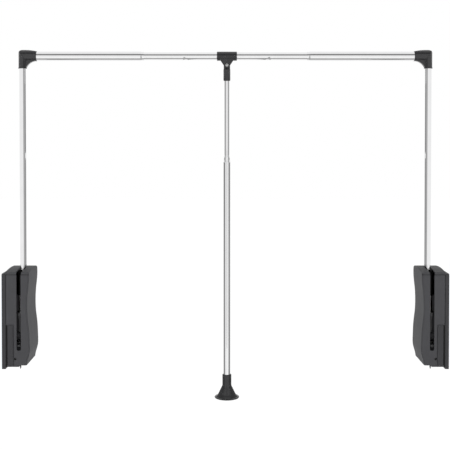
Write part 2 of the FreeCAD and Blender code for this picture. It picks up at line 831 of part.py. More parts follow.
def elbow_barrel():
    """The elbow's barrel on the rail's axis: crowned above, round below."""
    start = arm_offset - elbow_out
    neck_r = collar_r - elbow_lip_rise
    crown = rail_height + elbow_up
    return face_of(
        [
            arc(V(start, -neck_r, rail_height), V(start, 0, crown), V(start, neck_r, rail_height)),
            arc(
                V(start, neck_r, rail_height),
                V(start, 0, rail_height - neck_r),
                V(start, -neck_r, rail_height),
            ),
        ]
    ).extrude(V(elbow_out + elbow_in, 0, 0))


def elbow_plan():
    """The elbow's outline seen from above: rounded about the arm, straight along the rail."""
    half = (elbow_up + collar_r) / 2
    outer = arm_offset - elbow_out
    bend = arm_offset + elbow_bend
    end = arm_offset + elbow_in
    return face_of(
        [
            arc(V(bend, -half, 0), V(outer, 0, 0), V(bend, half, 0)),
            line(V(bend, half, 0), V(end, half, 0)),
            line(V(end, half, 0), V(end, -half, 0)),
            line(V(end, -half, 0), V(bend, -half, 0)),
        ]
    ).extrude(V(0, 0, rail_height + 2 * elbow_up))


def elbow_screws():
    """Screw into the arm tube and screw into the rail tube, both from the back: (x, z)."""
    return [
        (arm_offset, rail_height - elbow_screw_drop),
        (arm_offset + elbow_in + spigot_length / 2, rail_height),
    ]


def make_elbow_screws():
    """The two screws that lock the arm tube and the rail tube in the elbow, as a group."""
    (arm_x, arm_z), (rail_x, rail_z) = elbow_screws()
    r = elbow_screw_d / 2
    head_r = elbow_screw_head_d / 2
    seat = elbow_screw_seat
    flat = rod_y(r, arm_r - tube_wall - r, seat, arm_x, arm_z)
    flat = flat.fuse(rod_y(head_r, seat, seat + elbow_screw_head, arm_x, arm_z))
    rail_r = rail_d / 2
    shank = rod_y(r, rail_r - tube_wall - spigot_wall, rail_r, rail_x, rail_z)
    dome = [(0, 0), (head_r, 0), (0.85 * head_r, 0.6 * elbow_screw_head), (0, elbow_screw_head)]
    domed = shank.fuse(turned(dome, rail_x, rail_r, rail_z, Y_AXIS))
    return Part.makeCompound([flat, domed])


# ---- rail ----
def make_rail_outer():
    """Outer rail tube, with its open end drawn in to guide the inner tube."""
    start = arm_offset + elbow_in
    end = mid_x - rail_end
    r = rail_d / 2
    bore = r - tube_wall
    neck = rail_neck_d / 2
    neck_bore = core_d / 2 + running_fit
    profile = [
        (bore, 0),
        (r, 0),
        (r, end - start - rail_neck - rail_taper),
        (neck, end - start - rail_neck),
        (neck, end - start),
        (neck_bore, end - start),
        (neck_bore, end - start - rail_neck),
        (bore, end - start - rail_neck - rail_taper),
    ]
    tube = turned(profile, start, 0, rail_height, X_AXIS)
    return tube.cut(rod_y(elbow_screw_d / 2, 0, 2 * r, start + spigot_length / 2, rail_height))


def make_rail_core():
    r = core_d / 2
    tube = rod_x(r, mid_x - core_half, mid_x + core_half, 0, rail_height)
    return tube.cut(rod_x(r - tube_wall, mid_x - core_half - 1, mid_x + core_half + 1, 0, rail_height))


def make_rail_guides():
    """Nylon guides plugged into both ends of the inner rail tube, running in the outer tubes."""
    big = rail_d / 2 - tube_wall - running_fit
    small = core_d / 2 - tube_wall
    profile = [
        (small - guide_wall, -guide_plug),
        (small, -guide_plug),
        (small, 0),
        (big, 0),
        (big, guide_ring - guide_bevel),
        (big - guide_bevel, guide_ring),
        (small - guide_wall, guide_ring),
    ]
    right = turned(profile, mid_x + core_half, 0, rail_height, X_AXIS)
    left = turned(profile, mid_x - core_half, 0, rail_height, X_AXIS * -1)
    return Part.makeCompound([left, right])


# ---- tee and handle ----
def make_tee():
    """Sleeve on the inner rail tube with two tapered ears for the handle's pin."""
    half = tee_length / 2
    bore = core_d / 2 + tee_fit
    corner = 0.3 * tee_round
    profile = [
        (bore, -half),
        (tee_r - tee_round, -half),
        (tee_r - corner, -half + corner),
        (tee_r, -half + tee_round),
        (tee_r, half - tee_round),
        (tee_r - corner, half - corner),
        (tee_r - tee_round, half),
        (bore, half),
    ]
    body = turned(profile, handle_x, 0, rail_height, X_AXIS)
    ears = [ear(-ear_in - ear_t, -1), ear(ear_in, 1)]
    body = body.fuse(ears)
    body = body.cut(rod_x(bore, handle_x - tee_length, handle_x + tee_length, 0, rail_height))
    return body.cut(rod_y(tee_pin_d / 2, -tee_r, tee_r, handle_x, pin_z_rail))


def ear(y0, side):
    """One ear, in front (-1) or behind (1): wide at the sleeve, tapered to a round end about the pin."""
    root = rail_height - tee_r / 2
    shoulder = rail_height - tee_r
    top = Part.Face(
        Part.makePolygon(
            [
                V(handle_x - ear_top_half, y0, root),
                V(handle_x - ear_top_half, y0, shoulder),
                V(handle_x - ear_end_r, y0, pin_z_rail),
                V(handle_x + ear_end_r, y0, pin_z_rail),
                V(handle_x + ear_top_half, y0, shoulder),
                V(handle_x + ear_top_half, y0, root),
                V(handle_x - ear_top_half, y0, root),
            ]
        )
    ).extrude(V(0, ear_t, 0))
    whole = top.fuse(rod_y(ear_end_r, y0, y0 + ear_t, handle_x, pin_z_rail)).removeSplitter()
    outer_y = side * (ear_in + ear_t)
    rim = [
        e for e in whole.Edges
        if e.BoundBox.YLength < 1e-3 and abs(e.CenterOfMass.y - outer_y) < 1e-3
        and e.BoundBox.ZMin < shoulder - 1 and e.BoundBox.ZLength > ear_t
    ]
    return whole.makeChamfer(ear_bevel, rim)


def make_tee_pin():
    """Pin through both ears, with a bright domed head at each end."""
    out = ear_in + ear_t
    pin = rod_y(tee_pin_d / 2, -out, out, handle_x, pin_z_rail)
    dome = [(0, 0), (tee_pin_head_d / 2, 0), (tee_pin_crown, tee_pin_side), (0, tee_pin_head)]
    heads = [
        turned(dome, handle_x, out, pin_z_rail, Y_AXIS),
        turned(dome, handle_x, -out, pin_z_rail, Y_AXIS * -1),
    ]
    return pin.fuse(heads)


def make_handle_socket():
    """Sleeve that takes the thin handle tube, with a tongue between the tee's ears."""
    t = ear_in - tongue_gap
    shoulder = rail_height - socket_top
    bottom = rail_height - socket_bottom
    r = handle_socket_r
    profile = [
        (0, shoulder),
        (r - socket_bevel_top, shoulder),
        (r, shoulder - socket_bevel_top),
        (r, bottom + socket_bevel_low),
        (r - socket_bevel_low, bottom),
        (0, bottom),
    ]
    barrel = turned(profile, handle_x)
    tongue = rod_y(tongue_r, -t, t, handle_x, pin_z_rail)
    neck = box(handle_x - tongue_r, handle_x + tongue_r, -t, t, shoulder - 1, pin_z_rail)
    socket = barrel.fuse([tongue, neck])
    socket = socket.cut(rod_y(tee_pin_d / 2 + running_fit, -r, r, handle_x, pin_z_rail))
    socket = socket.cut(rod_z(upper_d / 2, bottom - 1, upper_top, handle_x))
    return socket.cut(rod_x(socket_pin_r, handle_x - r, handle_x + r, 0, socket_pin_z))


def make_socket_pin():
    """Cross pin that holds the thin tube in its socket."""
    reach = handle_socket_r - socket_pin_inset
    return rod_x(socket_pin_r, handle_x - reach, handle_x + reach, 0, socket_pin_z)


def make_handle_upper():
    """Thin chromed tube of the handle, with a cross hole at the top and the button's hole."""
    tube = rod_z(upper_d / 2, upper_bottom, upper_top, handle_x)
    tube = tube.cut(rod_z(upper_d / 2 - upper_wall, upper_bottom - 1, upper_top + 1, handle_x))
    tube = tube.cut(rod_x(socket_pin_r, handle_x - upper_d, handle_x + upper_d, 0, socket_pin_z))
    return tube.cut(rod_x(button_d / 2 + running_fit, handle_x, handle_x + upper_d, 0, button_z))


def make_handle_lower():
    """Thick chromed tube, drawn in at the top, with a row of adjusting holes on its right side."""
    r = lower_d / 2
    bore = r - lower_wall
    top = rail_height - lower_top_drop
    profile = [
        (bore, top - lower_length),
        (r, top - lower_length),
        (r, top - lower_neck - lower_taper),
        (lower_neck_d / 2, top - lower_neck),
        (lower_neck_d / 2, top),
        (upper_d / 2 + running_fit, top),
        (upper_d / 2 + running_fit, top - lower_neck),
        (bore, top - lower_neck - lower_taper),
    ]
    tube = turned(profile, handle_x)
    holes = [
        rod_x(hole_d / 2, handle_x, handle_x + lower_d, 0, top - hole_first - i * hole_pitch)
        for i in range(hole_count)
    ]
    return tube.cut(Part.makeCompound(holes))


def make_guide_plug():
    """Nylon plug in the thin tube's lower end: it runs in the thick tube and houses the button."""
    big = lower_d / 2 - lower_wall - running_fit
    small = upper_d / 2 - upper_wall
    low = upper_bottom - plug_collar
    top = button_z + button_body_d
    profile = [
        (0, low),
        (big - plug_bevel, low),
        (big, low + plug_bevel),
        (big, upper_bottom),
        (small, upper_bottom),
        (small, top),
        (0, top),
    ]
    plug = turned(profile, handle_x)
    chamber_r = button_body_d / 2 + running_fit
    return plug.cut(rod_x(chamber_r, handle_x - small + plug_wall, handle_x + small + 1, 0, button_z))


def button_inside():
    """How far out the button's wider body can go inside the thin tube."""
    bore = upper_d / 2 - upper_wall - 2 * running_fit
    return math.sqrt(bore**2 - (button_body_d / 2) ** 2)


def make_button():
    """Snap button: a nose in the thin tube's hole on a wider body inside the plug."""
    inside = button_inside()
    bore = lower_d / 2 - lower_wall - running_fit
    r = button_d / 2
    length = math.sqrt(bore**2 - r**2) - inside
    profile = [(0, 0), (r, 0), (r, length - button_bevel), (r - button_bevel, length), (0, length)]
    nose = turned(profile, handle_x + inside, 0, button_z, X_AXIS)
    body_x = handle_x + inside
    return nose.fuse(rod_x(button_body_d / 2, body_x - button_head, body_x, 0, button_z))


def make_button_spring():
    """Spring behind the button, drawn as its closed outer form."""
    start = handle_x - upper_d / 2 + upper_wall + plug_wall
    end = handle_x + button_inside() - button_head
    r = button_body_d / 2 - button_spring_gap
    tube = rod_x(r, start, end, 0, button_z)
    return tube.cut(rod_x(r - button_spring_wall, start - 1, end + 1, 0, button_z))


def make_grip():
    """Bell-shaped grip: straight neck, flare and a thin rim, dished underneath."""
    neck_low = V(grip_neck_r, 0, grip_top - grip_neck)
    shoulder = V(grip_flare_r, 0, grip_top - grip_flare_drop)
    rim_r = grip_rim_r - grip_rim_round
    rim_high = V(rim_r, 0, grip_top - grip_rim_drop)
    flare = Part.BSplineCurve()
    flare.interpolate([shoulder, rim_high], InitialTangent=shoulder - neck_low, FinalTangent=X_AXIS)
    rim_mid = V(grip_rim_r, 0, grip_low + grip_rim_t / 2)
    neck_in = grip_neck_r - grip_top_round
    corner = 0.3 * grip_top_round
    foot_r = rim_r - grip_foot
    dish_top = V(0, 0, grip_low + grip_dish)
    outline = [
        line(V(0, 0, grip_top), V(neck_in, 0, grip_top)),
        arc(
            V(neck_in, 0, grip_top),
            V(grip_neck_r - corner, 0, grip_top - corner),
            V(grip_neck_r, 0, grip_top - grip_top_round),
        ),
        line(V(grip_neck_r, 0, grip_top - grip_top_round), neck_low),
        line(neck_low, shoulder),
        flare.toShape(),
        arc(rim_high, rim_mid, V(rim_r, 0, grip_low)),
        line(V(rim_r, 0, grip_low), V(foot_r, 0, grip_low)),
        arc(V(foot_r, 0, grip_low), V(foot_r / 2, 0, grip_low + 0.75 * grip_dish), dish_top),
        line(dish_top, V(0, 0, grip_top)),
    ]
    bell = face_of(outline).revolve(V(0, 0, 0), Z_AXIS, 360)
    bell.translate(V(handle_x, 0, 0))
    bell = bell.cut(rod_z(lower_d / 2, grip_top - grip_socket, grip_top + 1, handle_x))
    bell = bell.cut(rod_z(grip_screw_d / 2, grip_low - 1, grip_top, handle_x))
    head_r = grip_screw_head_d / 2 + grip_screw_gap
    return bell.cut(rod_z(head_r, grip_low - 1, grip_screw_seat, handle_x))


def make_grip_plug():
    """Threaded plug in the thick tube's lower end that the grip's screw pulls on."""
    low = grip_top - grip_socket
    plug = rod_z(lower_d / 2 - lower_wall, low, low + grip_plug_length, handle_x)
    return plug.cut(rod_z(grip_screw_d / 2, low - 1, low + grip_plug_length + 1, handle_x))


def make_grip_screw():
    """Screw from below, through the grip into its plug."""
    seat = grip_screw_seat
    shank = rod_z(grip_screw_d / 2, seat, grip_top - grip_socket + grip_screw_grip, handle_x)
    head_r = grip_screw_head_d / 2
    low = seat - grip_screw_head
    side_low = seat - grip_screw_side
    profile = [(0, seat), (head_r, seat), (head_r, side_low), (head_r - grip_screw_bevel, low), (0, low)]
    return shank.fuse(turned(profile, handle_x))


# ---- all pieces ----
side_pieces = {
    "wall_plate": make_wall_plate,
    "outer_case": make_outer_case,
    "lower_cap": make_lower_cap,
    "inner_cover": make_inner_cover,
    "case_screw": make_fix_screw,
    "axle": make_axle,
    "stop_buffer": make_stop,
    "spring_cylinder": make_spring_cylinder,
    "spring_rod": make_spring_rod,
    "carriage": make_carriage,
    "lever": make_lever,
    "bushes": make_bushes,
    "crank_pin": make_crank_pin,
    "arm_tube": make_arm_tube,
    "arm_rivets": make_rivets,
    "elbow": make_elbow,
    "elbow_screws": make_elbow_screws,
    "rail_tube": make_rail_outer,
}
middle_pieces = {
    "rail_core": make_rail_core,
    "rail_guides": make_rail_guides,
    "tee": make_tee,
    "tee_pin": make_tee_pin,
    "handle_socket": make_handle_socket,
    "socket_pin": make_socket_pin,
    "handle_upper_tube": make_handle_upper,
    "handle_lower_tube": make_handle_lower,
    "guide_plug": make_guide_plug,
    "snap_button": make_button,
    "button_spring": make_button_spring,
    "grip": make_grip,
    "grip_plug": make_grip_plug,
    "grip_screw": make_grip_screw,
}

os.makedirs("parts", exist_ok=True)
for name, make in side_pieces.items():
    shape = make()
    shape.exportStep("parts/left_" + name + ".step")
    shape.mirror(V(mid_x, 0, 0), X_AXIS).exportStep("parts/right_" + name + ".step")
    print(name, round(shape.Volume), len(shape.Solids), shape.isValid())
for name, make in middle_pieces.items():
    shape = make()
    shape.exportStep("parts/" + name + ".step")
    print(name, round(shape.Volume), len(shape.Solids), shape.isValid())
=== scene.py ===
# %% [markdown]
# # A pull-down closet rod
# This clothes rail swings down out of a wardrobe. Two moulded housings screw to the wardrobe's
# sides. Each holds a chromed arm, two elbows join the arms to a telescopic rail, and a telescopic
# handle with a bell-shaped grip hangs from a tee in the middle. The engineering model is imported
# first, as a fixed frame. Every piece made here takes its place from it and rides on one of its
# bodies, so the scene can be posed without touching the script.

import json
from collections import namedtuple
from contextlib import contextmanager
from math import cos, pi, radians, sin

import bmesh
import bpy
from mathutils import Matrix, Vector


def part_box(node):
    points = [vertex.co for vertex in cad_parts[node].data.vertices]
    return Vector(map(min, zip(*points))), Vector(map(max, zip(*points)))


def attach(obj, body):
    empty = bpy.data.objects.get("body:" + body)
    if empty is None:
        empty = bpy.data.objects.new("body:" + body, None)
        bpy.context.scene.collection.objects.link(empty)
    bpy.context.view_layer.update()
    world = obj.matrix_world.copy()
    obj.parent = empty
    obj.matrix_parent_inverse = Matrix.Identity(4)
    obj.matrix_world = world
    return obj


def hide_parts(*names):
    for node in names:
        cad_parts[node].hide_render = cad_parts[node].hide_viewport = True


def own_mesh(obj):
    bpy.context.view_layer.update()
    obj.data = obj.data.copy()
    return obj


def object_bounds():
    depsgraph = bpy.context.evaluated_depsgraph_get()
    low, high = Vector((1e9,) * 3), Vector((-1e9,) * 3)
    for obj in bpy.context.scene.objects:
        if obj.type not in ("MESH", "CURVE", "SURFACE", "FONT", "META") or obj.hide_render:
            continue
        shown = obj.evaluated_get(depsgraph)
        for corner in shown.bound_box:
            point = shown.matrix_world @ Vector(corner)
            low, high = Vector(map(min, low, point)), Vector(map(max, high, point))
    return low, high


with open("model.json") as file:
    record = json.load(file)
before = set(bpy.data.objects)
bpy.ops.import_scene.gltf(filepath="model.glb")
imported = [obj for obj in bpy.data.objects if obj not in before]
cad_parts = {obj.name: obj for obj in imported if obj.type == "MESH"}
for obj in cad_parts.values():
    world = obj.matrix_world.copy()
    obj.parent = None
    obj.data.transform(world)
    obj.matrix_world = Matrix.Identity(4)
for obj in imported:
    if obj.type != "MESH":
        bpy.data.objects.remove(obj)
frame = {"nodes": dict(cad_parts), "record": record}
cad_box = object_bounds()

# %% [markdown]
# Blender works in metres and this object is described in millimetres, so one constant converts. The
# helpers read a node's box: its corners, its middle and its size. Places read from the frame keep the
# looks and the mechanism together.

# %% Measure the frame
MM = 0.001
SIDES = {"left": 1, "right": -1}        # and the way inwards along X
boxes = {node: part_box(node) for node in frame["nodes"]}


def low(node):
    """Lowest corner of a node's box."""
    return Vector(boxes[node][0])


def high(node):
    """Highest corner of a node's box."""
    return Vector(boxes[node][1])


def middle(node):
    """Middle of a node's box."""
    return (low(node) + high(node)) / 2


def extent(node):
    """Size of a node's box along X, Y and Z."""
    return high(node) - low(node)


def body_of(node):
    """Name of the body that a node rides on."""
    bodies = frame["record"]["behaviour"]["bodies"]
    return next(body for body, nodes in bodies.items() if node in nodes)


rail_z = middle("rail_core").z
handle_x = middle("handle_lower_tube").x
print("rail height:", round(rail_z / MM, 1), "mm, handle at x", round(handle_x / MM, 1), "mm")

# %% [markdown]
# ## Maths on sockets
# A procedural material is a graph. Written node by node it is long, so one small class wraps a
# socket: its operators add Math nodes, and its `node` method adds any other node. The settings of a
# node are set before its sockets, because some settings change which sockets it has. A socket that
# takes several links is given a list of wires.


# %% Wire: an output socket with operators
def operator(operation, reflected=False):
    """Method that adds a Math node. Reflected, it is the one for 1 - wire instead of wire - 1."""

    def method(self, other=0.0):
        inputs = {0: other, 1: self} if reflected else {0: self, 1: other}
        return self.node("ShaderNodeMath", {"operation": operation}, inputs)

    return method


class Wire:
    """An output socket of a shader or geometry tree."""

    def __init__(self, tree, socket):
        self.tree = tree
        self.socket = socket

    def node(self, kind, settings=None, inputs=None, output=0):
        """Adds a node with its settings, then its inputs' values or wires, and returns an output."""
        made = self.tree.nodes.new(kind)
        for key, value in (settings or {}).items():
            setattr(made, key, value)
        for key, value in (inputs or {}).items():
            for one in value if isinstance(value, list) else [value]:
                if isinstance(one, Wire):
                    self.tree.links.new(one.socket, made.inputs[key])
                else:
                    made.inputs[key].default_value = one
        return Wire(self.tree, made.outputs[output])

    def out(self, index):
        """Another output of the same node."""
        return Wire(self.tree, self.socket.node.outputs[index])

    def vector(self, x=0.0, y=0.0, z=0.0):
        """A vector from three numbers or wires."""
        return self.node("ShaderNodeCombineXYZ", None, {0: x, 1: y, 2: z})

    __add__ = operator("ADD")
    __radd__ = operator("ADD", reflected=True)
    __sub__ = operator("SUBTRACT")
    __rsub__ = operator("SUBTRACT", reflected=True)
    __mul__ = operator("MULTIPLY")
    __rmul__ = operator("MULTIPLY", reflected=True)
    __truediv__ = operator("DIVIDE")
    __rtruediv__ = operator("DIVIDE", reflected=True)
    __gt__ = operator("GREATER_THAN")
    __lt__ = operator("LESS_THAN")
    maximum = operator("MAXIMUM")
    absolute = operator("ABSOLUTE")
    sine = operator("SINE")
    cosine = operator("COSINE")


print("a wire knows the operators + - * / > <")

# %% [markdown]
# ## Finishes
# Every finish starts from the same few parts: a Principled shader, the piece's own coordinates, and
# noise at the scale of the real surface. Object coordinates are in metres, so a noise scale of
# 1 / (0.4 mm) gives grains 0.4 mm across. Only colour, roughness and the bump vary: everything else
# is a constant on the shader's own socket.


# %% Start and end a finish
def grain(size):
    """Noise scale whose features are about this many millimetres across."""
    return 1 / (size * MM)


def start_finish(name, **constants):
    """New material with constants on its shader's sockets, and the wire of its Object coordinates."""
    material = bpy.data.materials.new(name)
    material.use_nodes = True
    tree = material.node_tree
    for socket, value in constants.items():
        tree.nodes["Principled BSDF"].inputs[socket.replace("_", " ")].default_value = value
    return material, Wire(tree, tree.nodes.new("ShaderNodeTexCoord").outputs["Object"])


def end_finish(material, tone, roughness, normal):
    """Links what varies to the material's shader."""
    inputs = material.node_tree.nodes["Principled BSDF"].inputs
    for socket, wire in {"Base Color": tone, "Roughness": roughness, "Normal": normal}.items():
        wire.tree.links.new(wire.socket, inputs[socket])
    print(material.name, len(material.node_tree.nodes), "nodes")
    return material


def noise(place, size, detail=2, rough=0.5, stretch=(1, 1, 1)):
    """Noise around 0.5 with features of that size in mm, stretched along some axes."""
    scaled = place.node("ShaderNodeMapping", None, {"Vector": place, "Scale": stretch})
    inputs = {"Vector": scaled, "Scale": grain(size), "Detail": detail, "Roughness": rough}
    return place.node("ShaderNodeTexNoise", None, inputs)


def mix_colour(factor, first, second):
    """Colour between two colours or wires by a factor."""
    inputs = {0: factor, 6: first, 7: second}
    return factor.node("ShaderNodeMix", {"data_type": "RGBA"}, inputs, output=2)


def bump(height, strength, distance):
    """Bump of a height wire, its distance in millimetres."""
    inputs = {"Strength": strength, "Distance": distance * MM, "Height": height}
    return height.node("ShaderNodeBump", None, inputs)


print("a 0.4 mm grain is a noise scale of", grain(0.4))

# %% [markdown]
# The housings are moulded in charcoal plastic, their wall plates and clip-in caps in a darker one.
# The mould is spark eroded, which leaves a fine even grain that scatters light. Two noises make it:
# one for the grain and a much larger, weaker one for the slow changes of tone of a big moulding. The
# shade in two narrow recesses in the front is painted into the colour as a near-black tone: the gap
# beside the cap and the seam under the top edge. A mask of comparisons finds them by their place,
# measured inwards from the nearer wall so that one mask serves both sides.

# %% Housing plastic, with painted shade in the recesses
# Where shade is painted: recesses between these depths, beside the cap and under the top edge.
SEAM_FACE = -62.6           # Y of the front, in mm: anything deeper is inside a recess
SEAM_FLOOR = -59.5          # Y behind the floor of the recesses
PAINTED_SHADE_BESIDE_CAP = (10.3, 15.2, -70, 42)        # distance from the wall, from and to, then Z, from and to
PAINTED_SHADE_UNDER_TOP = (10.5, 75.0, 174.8, 177.0)
# near-black colour of the painted shade in the recesses
PAINTED_SHADE_COLOUR = (0.004, 0.004, 0.004, 1)


def painted_shade_mask(place):
    """1 where shade is painted, in the recesses of the fronts, the same on the left and on the right.
    """
    axes = place.node("ShaderNodeSeparateXYZ", None, {0: place})
    middle_x = (cad_box[0][0] + cad_box[1][0]) / 2
    off = axes - middle_x
    inward = (cad_box[1][0] - middle_x) - off.absolute()
    depth = (axes.out(1) > SEAM_FACE * MM) * (axes.out(1) < SEAM_FLOOR * MM)
    height = axes.out(2)
    masks = []
    for near, far, foot, head in (PAINTED_SHADE_BESIDE_CAP, PAINTED_SHADE_UNDER_TOP):
        across = (inward > near * MM) * (inward < far * MM)
        masks.append(across * (height > foot * MM) * (height < head * MM))
    return (masks[0] + masks[1]) * depth


def make_housing_plastic(name, dark, light):
    """Grained plastic between two tones, with shade painted into the seams."""
    material, place = start_finish(name, Specular_IOR_Level=0.22)
    clouds = noise(place, size=38, detail=3)
    pits = noise(place, size=0.55, detail=4, rough=0.65)
    tone = mix_colour(clouds * 0.6 + pits * 0.4, dark, light)
    # painted shade: the recesses of the front are darkened in the colour
    tone = mix_colour(painted_shade_mask(place), tone, PAINTED_SHADE_COLOUR)
    roughness = 0.50 + clouds * 0.10 + pits * 0.08
    relief = bump(pits + clouds * 0.2, strength=0.35, distance=0.12)
    return end_finish(material, tone, roughness, relief)


housing_plastic = make_housing_plastic(
    "grained_charcoal_painted_shade", dark=(0.028, 0.028, 0.030, 1), light=(0.041, 0.041, 0.044, 1)
)
plate_plastic = make_housing_plastic(
    "grained_dark_painted_shade", dark=(0.0205, 0.0205, 0.022, 1), light=(0.031, 0.031, 0.033, 1)
)

# %% [markdown]
# Elbows, tee, socket and grip come from polished moulds in a harder black plastic. They are darker
# and shinier than the housings, with faint flow marks along Z instead of a grain.

# %% Connector plastic
connector_plastic, place = start_finish("satin_black", Specular_IOR_Level=0.56)
flow = noise(place, size=11, detail=3, rough=0.6, stretch=(1, 1, 0.35))
specks = noise(place, size=0.8, detail=3, rough=0.6)
tone = mix_colour(flow * 0.7 + specks * 0.3, (0.006, 0.006, 0.0065, 1), (0.013, 0.013, 0.014, 1))
roughness = 0.16 + flow * 0.12 + specks * 0.06
end_finish(connector_plastic, tone, roughness, bump(specks + flow, strength=0.16, distance=0.08))

# %% [markdown]
# Chrome is a mirror, so what it reflects matters more than its own colour. A perfect mirror looks
# computed, though, so it gets what real plated tube has: a barely visible orange-peel ripple, a
# little haze, and hairline marks along the direction of polishing.

# %% Chrome
chrome, place = start_finish("polished_chrome", Metallic=1.0)
haze = noise(place, size=26, detail=3)
ripple = noise(place, size=7, detail=1)
hair = noise(place, size=0.5, stretch=(1, 1, 0.04))
marks = hair.node("ShaderNodeMapRange", None, {0: hair, 1: 0.62, 2: 0.78, 3: 0.0, 4: 1.0})
tone = mix_colour(haze, (0.79, 0.79, 0.795, 1), (0.85, 0.85, 0.855, 1))
roughness = 0.035 + haze * 0.03 + marks * 0.06
end_finish(chrome, tone, roughness, bump(ripple + marks * 0.05, strength=0.05, distance=0.15))

# %% [markdown]
# Inside the housings and on the fasteners the steel is plain: zinc plated, with the faint crystal
# mottling called spangle, or blackened on the moving parts. One function makes both.


# %% Zinc-plated and blackened steel
def make_steel(name, dark, light, polish):
    """Mottled metal between two tones. A higher value of polish is duller."""
    material, place = start_finish(name, Metallic=1.0)
    cells = place.node("ShaderNodeTexVoronoi", None, {"Vector": place, "Scale": grain(2.4)}, output=1)
    cell = cells.node("ShaderNodeSeparateColor", None, {0: cells})
    wear = noise(place, size=5, detail=4, rough=0.6)
    tone = mix_colour(cell * 0.5 + wear * 0.5, dark, light)
    roughness = polish + cell * 0.08 + wear * 0.12
    return end_finish(material, tone, roughness, bump(wear + cell * 0.1, strength=0.15, distance=0.1))


steel = make_steel("zinc_steel", (0.46, 0.47, 0.47, 1), (0.62, 0.62, 0.60, 1), 0.24)
black_steel = make_steel("blackened_steel", (0.030, 0.030, 0.032, 1), (0.070, 0.068, 0.066, 1), 0.36)

# %% [markdown]
# The slides and bushes are nylon filled with a dry lubricant, which turns it dark grey and waxy. The
# end stop is black rubber, dull and a little dusty. Each is one noise between two tones.


# %% Nylon and rubber
def make_plain(name, ior, cloud, dark, light, roughness, strength):
    """One noise for colour, roughness (its least and its spread) and relief."""
    material, place = start_finish(name, IOR=ior)
    spots = noise(place, *cloud)
    least, spread = roughness
    tone = mix_colour(spots, dark, light)
    return end_finish(material, tone, least + spots * spread, bump(spots, strength, distance=0.1))


nylon = make_plain(
    "filled_nylon", ior=1.53, cloud=(6, 3), roughness=(0.34, 0.12), strength=0.1,
    dark=(0.075, 0.075, 0.077, 1), light=(0.105, 0.105, 0.108, 1),
)
rubber = make_plain(
    "dull_rubber", ior=1.5, cloud=(1.6, 5, 0.7), roughness=(0.66, 0.2), strength=0.3,
    dark=(0.012, 0.012, 0.013, 1), light=(0.040, 0.039, 0.038, 1),
)

# %% [markdown]
# The record gives every node a material slot. This table says which finish a slot gets.

# %% Finishes of the material slots
FINISHES = {
    "housing_plastic": housing_plastic,
    "connector_plastic": connector_plastic,
    "chrome": chrome,
    "steel": steel,
    "black_steel": black_steel,
    "nylon": nylon,
    "rubber": rubber,
}
print(len(FINISHES), "material slots")

# %% [markdown]
# ## Meshes by rings
# Tubes and turned pieces are rings joined into a surface. `shell` takes a closed series of rings,
# out along the outside and back along the inside, and joins each to the next, so the result has a
# wall and no open edge.

# %% Rings into shells
SAME_POINT = 0.0005 * MM    # points closer than this are one point


def add_object(name, data):
    """New object in the scene."""
    thing = bpy.data.objects.new(name, data)
    bpy.context.collection.objects.link(thing)
    return thing


@contextmanager
def editing(mesh):
    """The mesh opened for editing, and written back at the end."""
    work = bmesh.new()
    work.from_mesh(mesh)
    yield work
    work.to_mesh(mesh)
    work.free()


def finish_mesh(piece, material, crease=35):
    """Outward normals, edges sharp from that many degrees on, and one material."""
    with editing(piece.data) as work:
        bmesh.ops.remove_doubles(work, verts=work.verts, dist=SAME_POINT)
        bmesh.ops.recalc_face_normals(work, faces=work.faces)
        for face in work.faces:
            face.smooth = True
        for edge in work.edges:
            edge.smooth = not edge.is_manifold or edge.calc_face_angle(0) < radians(crease)
    piece.data.materials.clear()
    piece.data.materials.append(material)


def shell(name, rings, material):
    """Closed surface through a closed series of rings that all have the same number of points."""
    count = len(rings[0])
    faces = []
    for r in range(len(rings)):
        here = r * count
        there = (r + 1) % len(rings) * count
        for k in range(count):
            n = (k + 1) % count
            faces.append((here + k, here + n, there + n, there + k))
    mesh = bpy.data.meshes.new(name)
    mesh.from_pydata([point for ring in rings for point in ring], [], faces)
    piece = add_object(name, mesh)
    finish_mesh(piece, material)
    return piece


def settle(piece, slot, *nodes):
    """The piece stands for CAD nodes of one body and rides on it."""
    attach(piece, body_of(nodes[0]))
    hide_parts(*nodes)
    print(piece.name, len(piece.data.polygons), "faces")


print("ring helpers ready")

# %% [markdown]
# ## The arms
# Each arm is a chromed tube that a press has squeezed flat at the bottom, where it slips over the
# lever in the housing. A modeller could scale the end of a cylinder, but that changes the tube's
# girth. Steel keeps its girth when it is squeezed, so the flat end is a stadium outline with the
# same perimeter as the round tube, and the stretch between is a blend of the two.

# %% Arm tubes
ARM_WALL = 1.2 * MM
ARM_FLAT_TOP = 42 * MM      # tube's lower end to the end of its flat
ARM_ROUND = 59 * MM         # tube's lower end to where it is round again
ARM_POINTS = 96             # points in a ring
ARM_STEPS = 24              # rings over the blend


def stadium_point(t, thick, wide):
    """Point at a share t of the way round a stadium that is thin along X and wide along Y."""
    r = thick / 2
    side = wide - thick
    girth = 2 * side + 2 * pi * r
    s = (t * girth + side / 2) % girth
    if s < side:
        return Vector((r, s - side / 2, 0))
    s -= side
    if s < pi * r:
        a = s / r
        return Vector((r * cos(a), side / 2 + r * sin(a), 0))
    s -= pi * r
    if s < side:
        return Vector((-r, side / 2 - s, 0))
    a = pi + (s - side) / r
    return Vector((r * cos(a), -side / 2 + r * sin(a), 0))


def circle_point(t, radius):
    """Point at a share t of the way round a circle."""
    a = 2 * pi * t
    return Vector((radius * cos(a), radius * sin(a), 0))


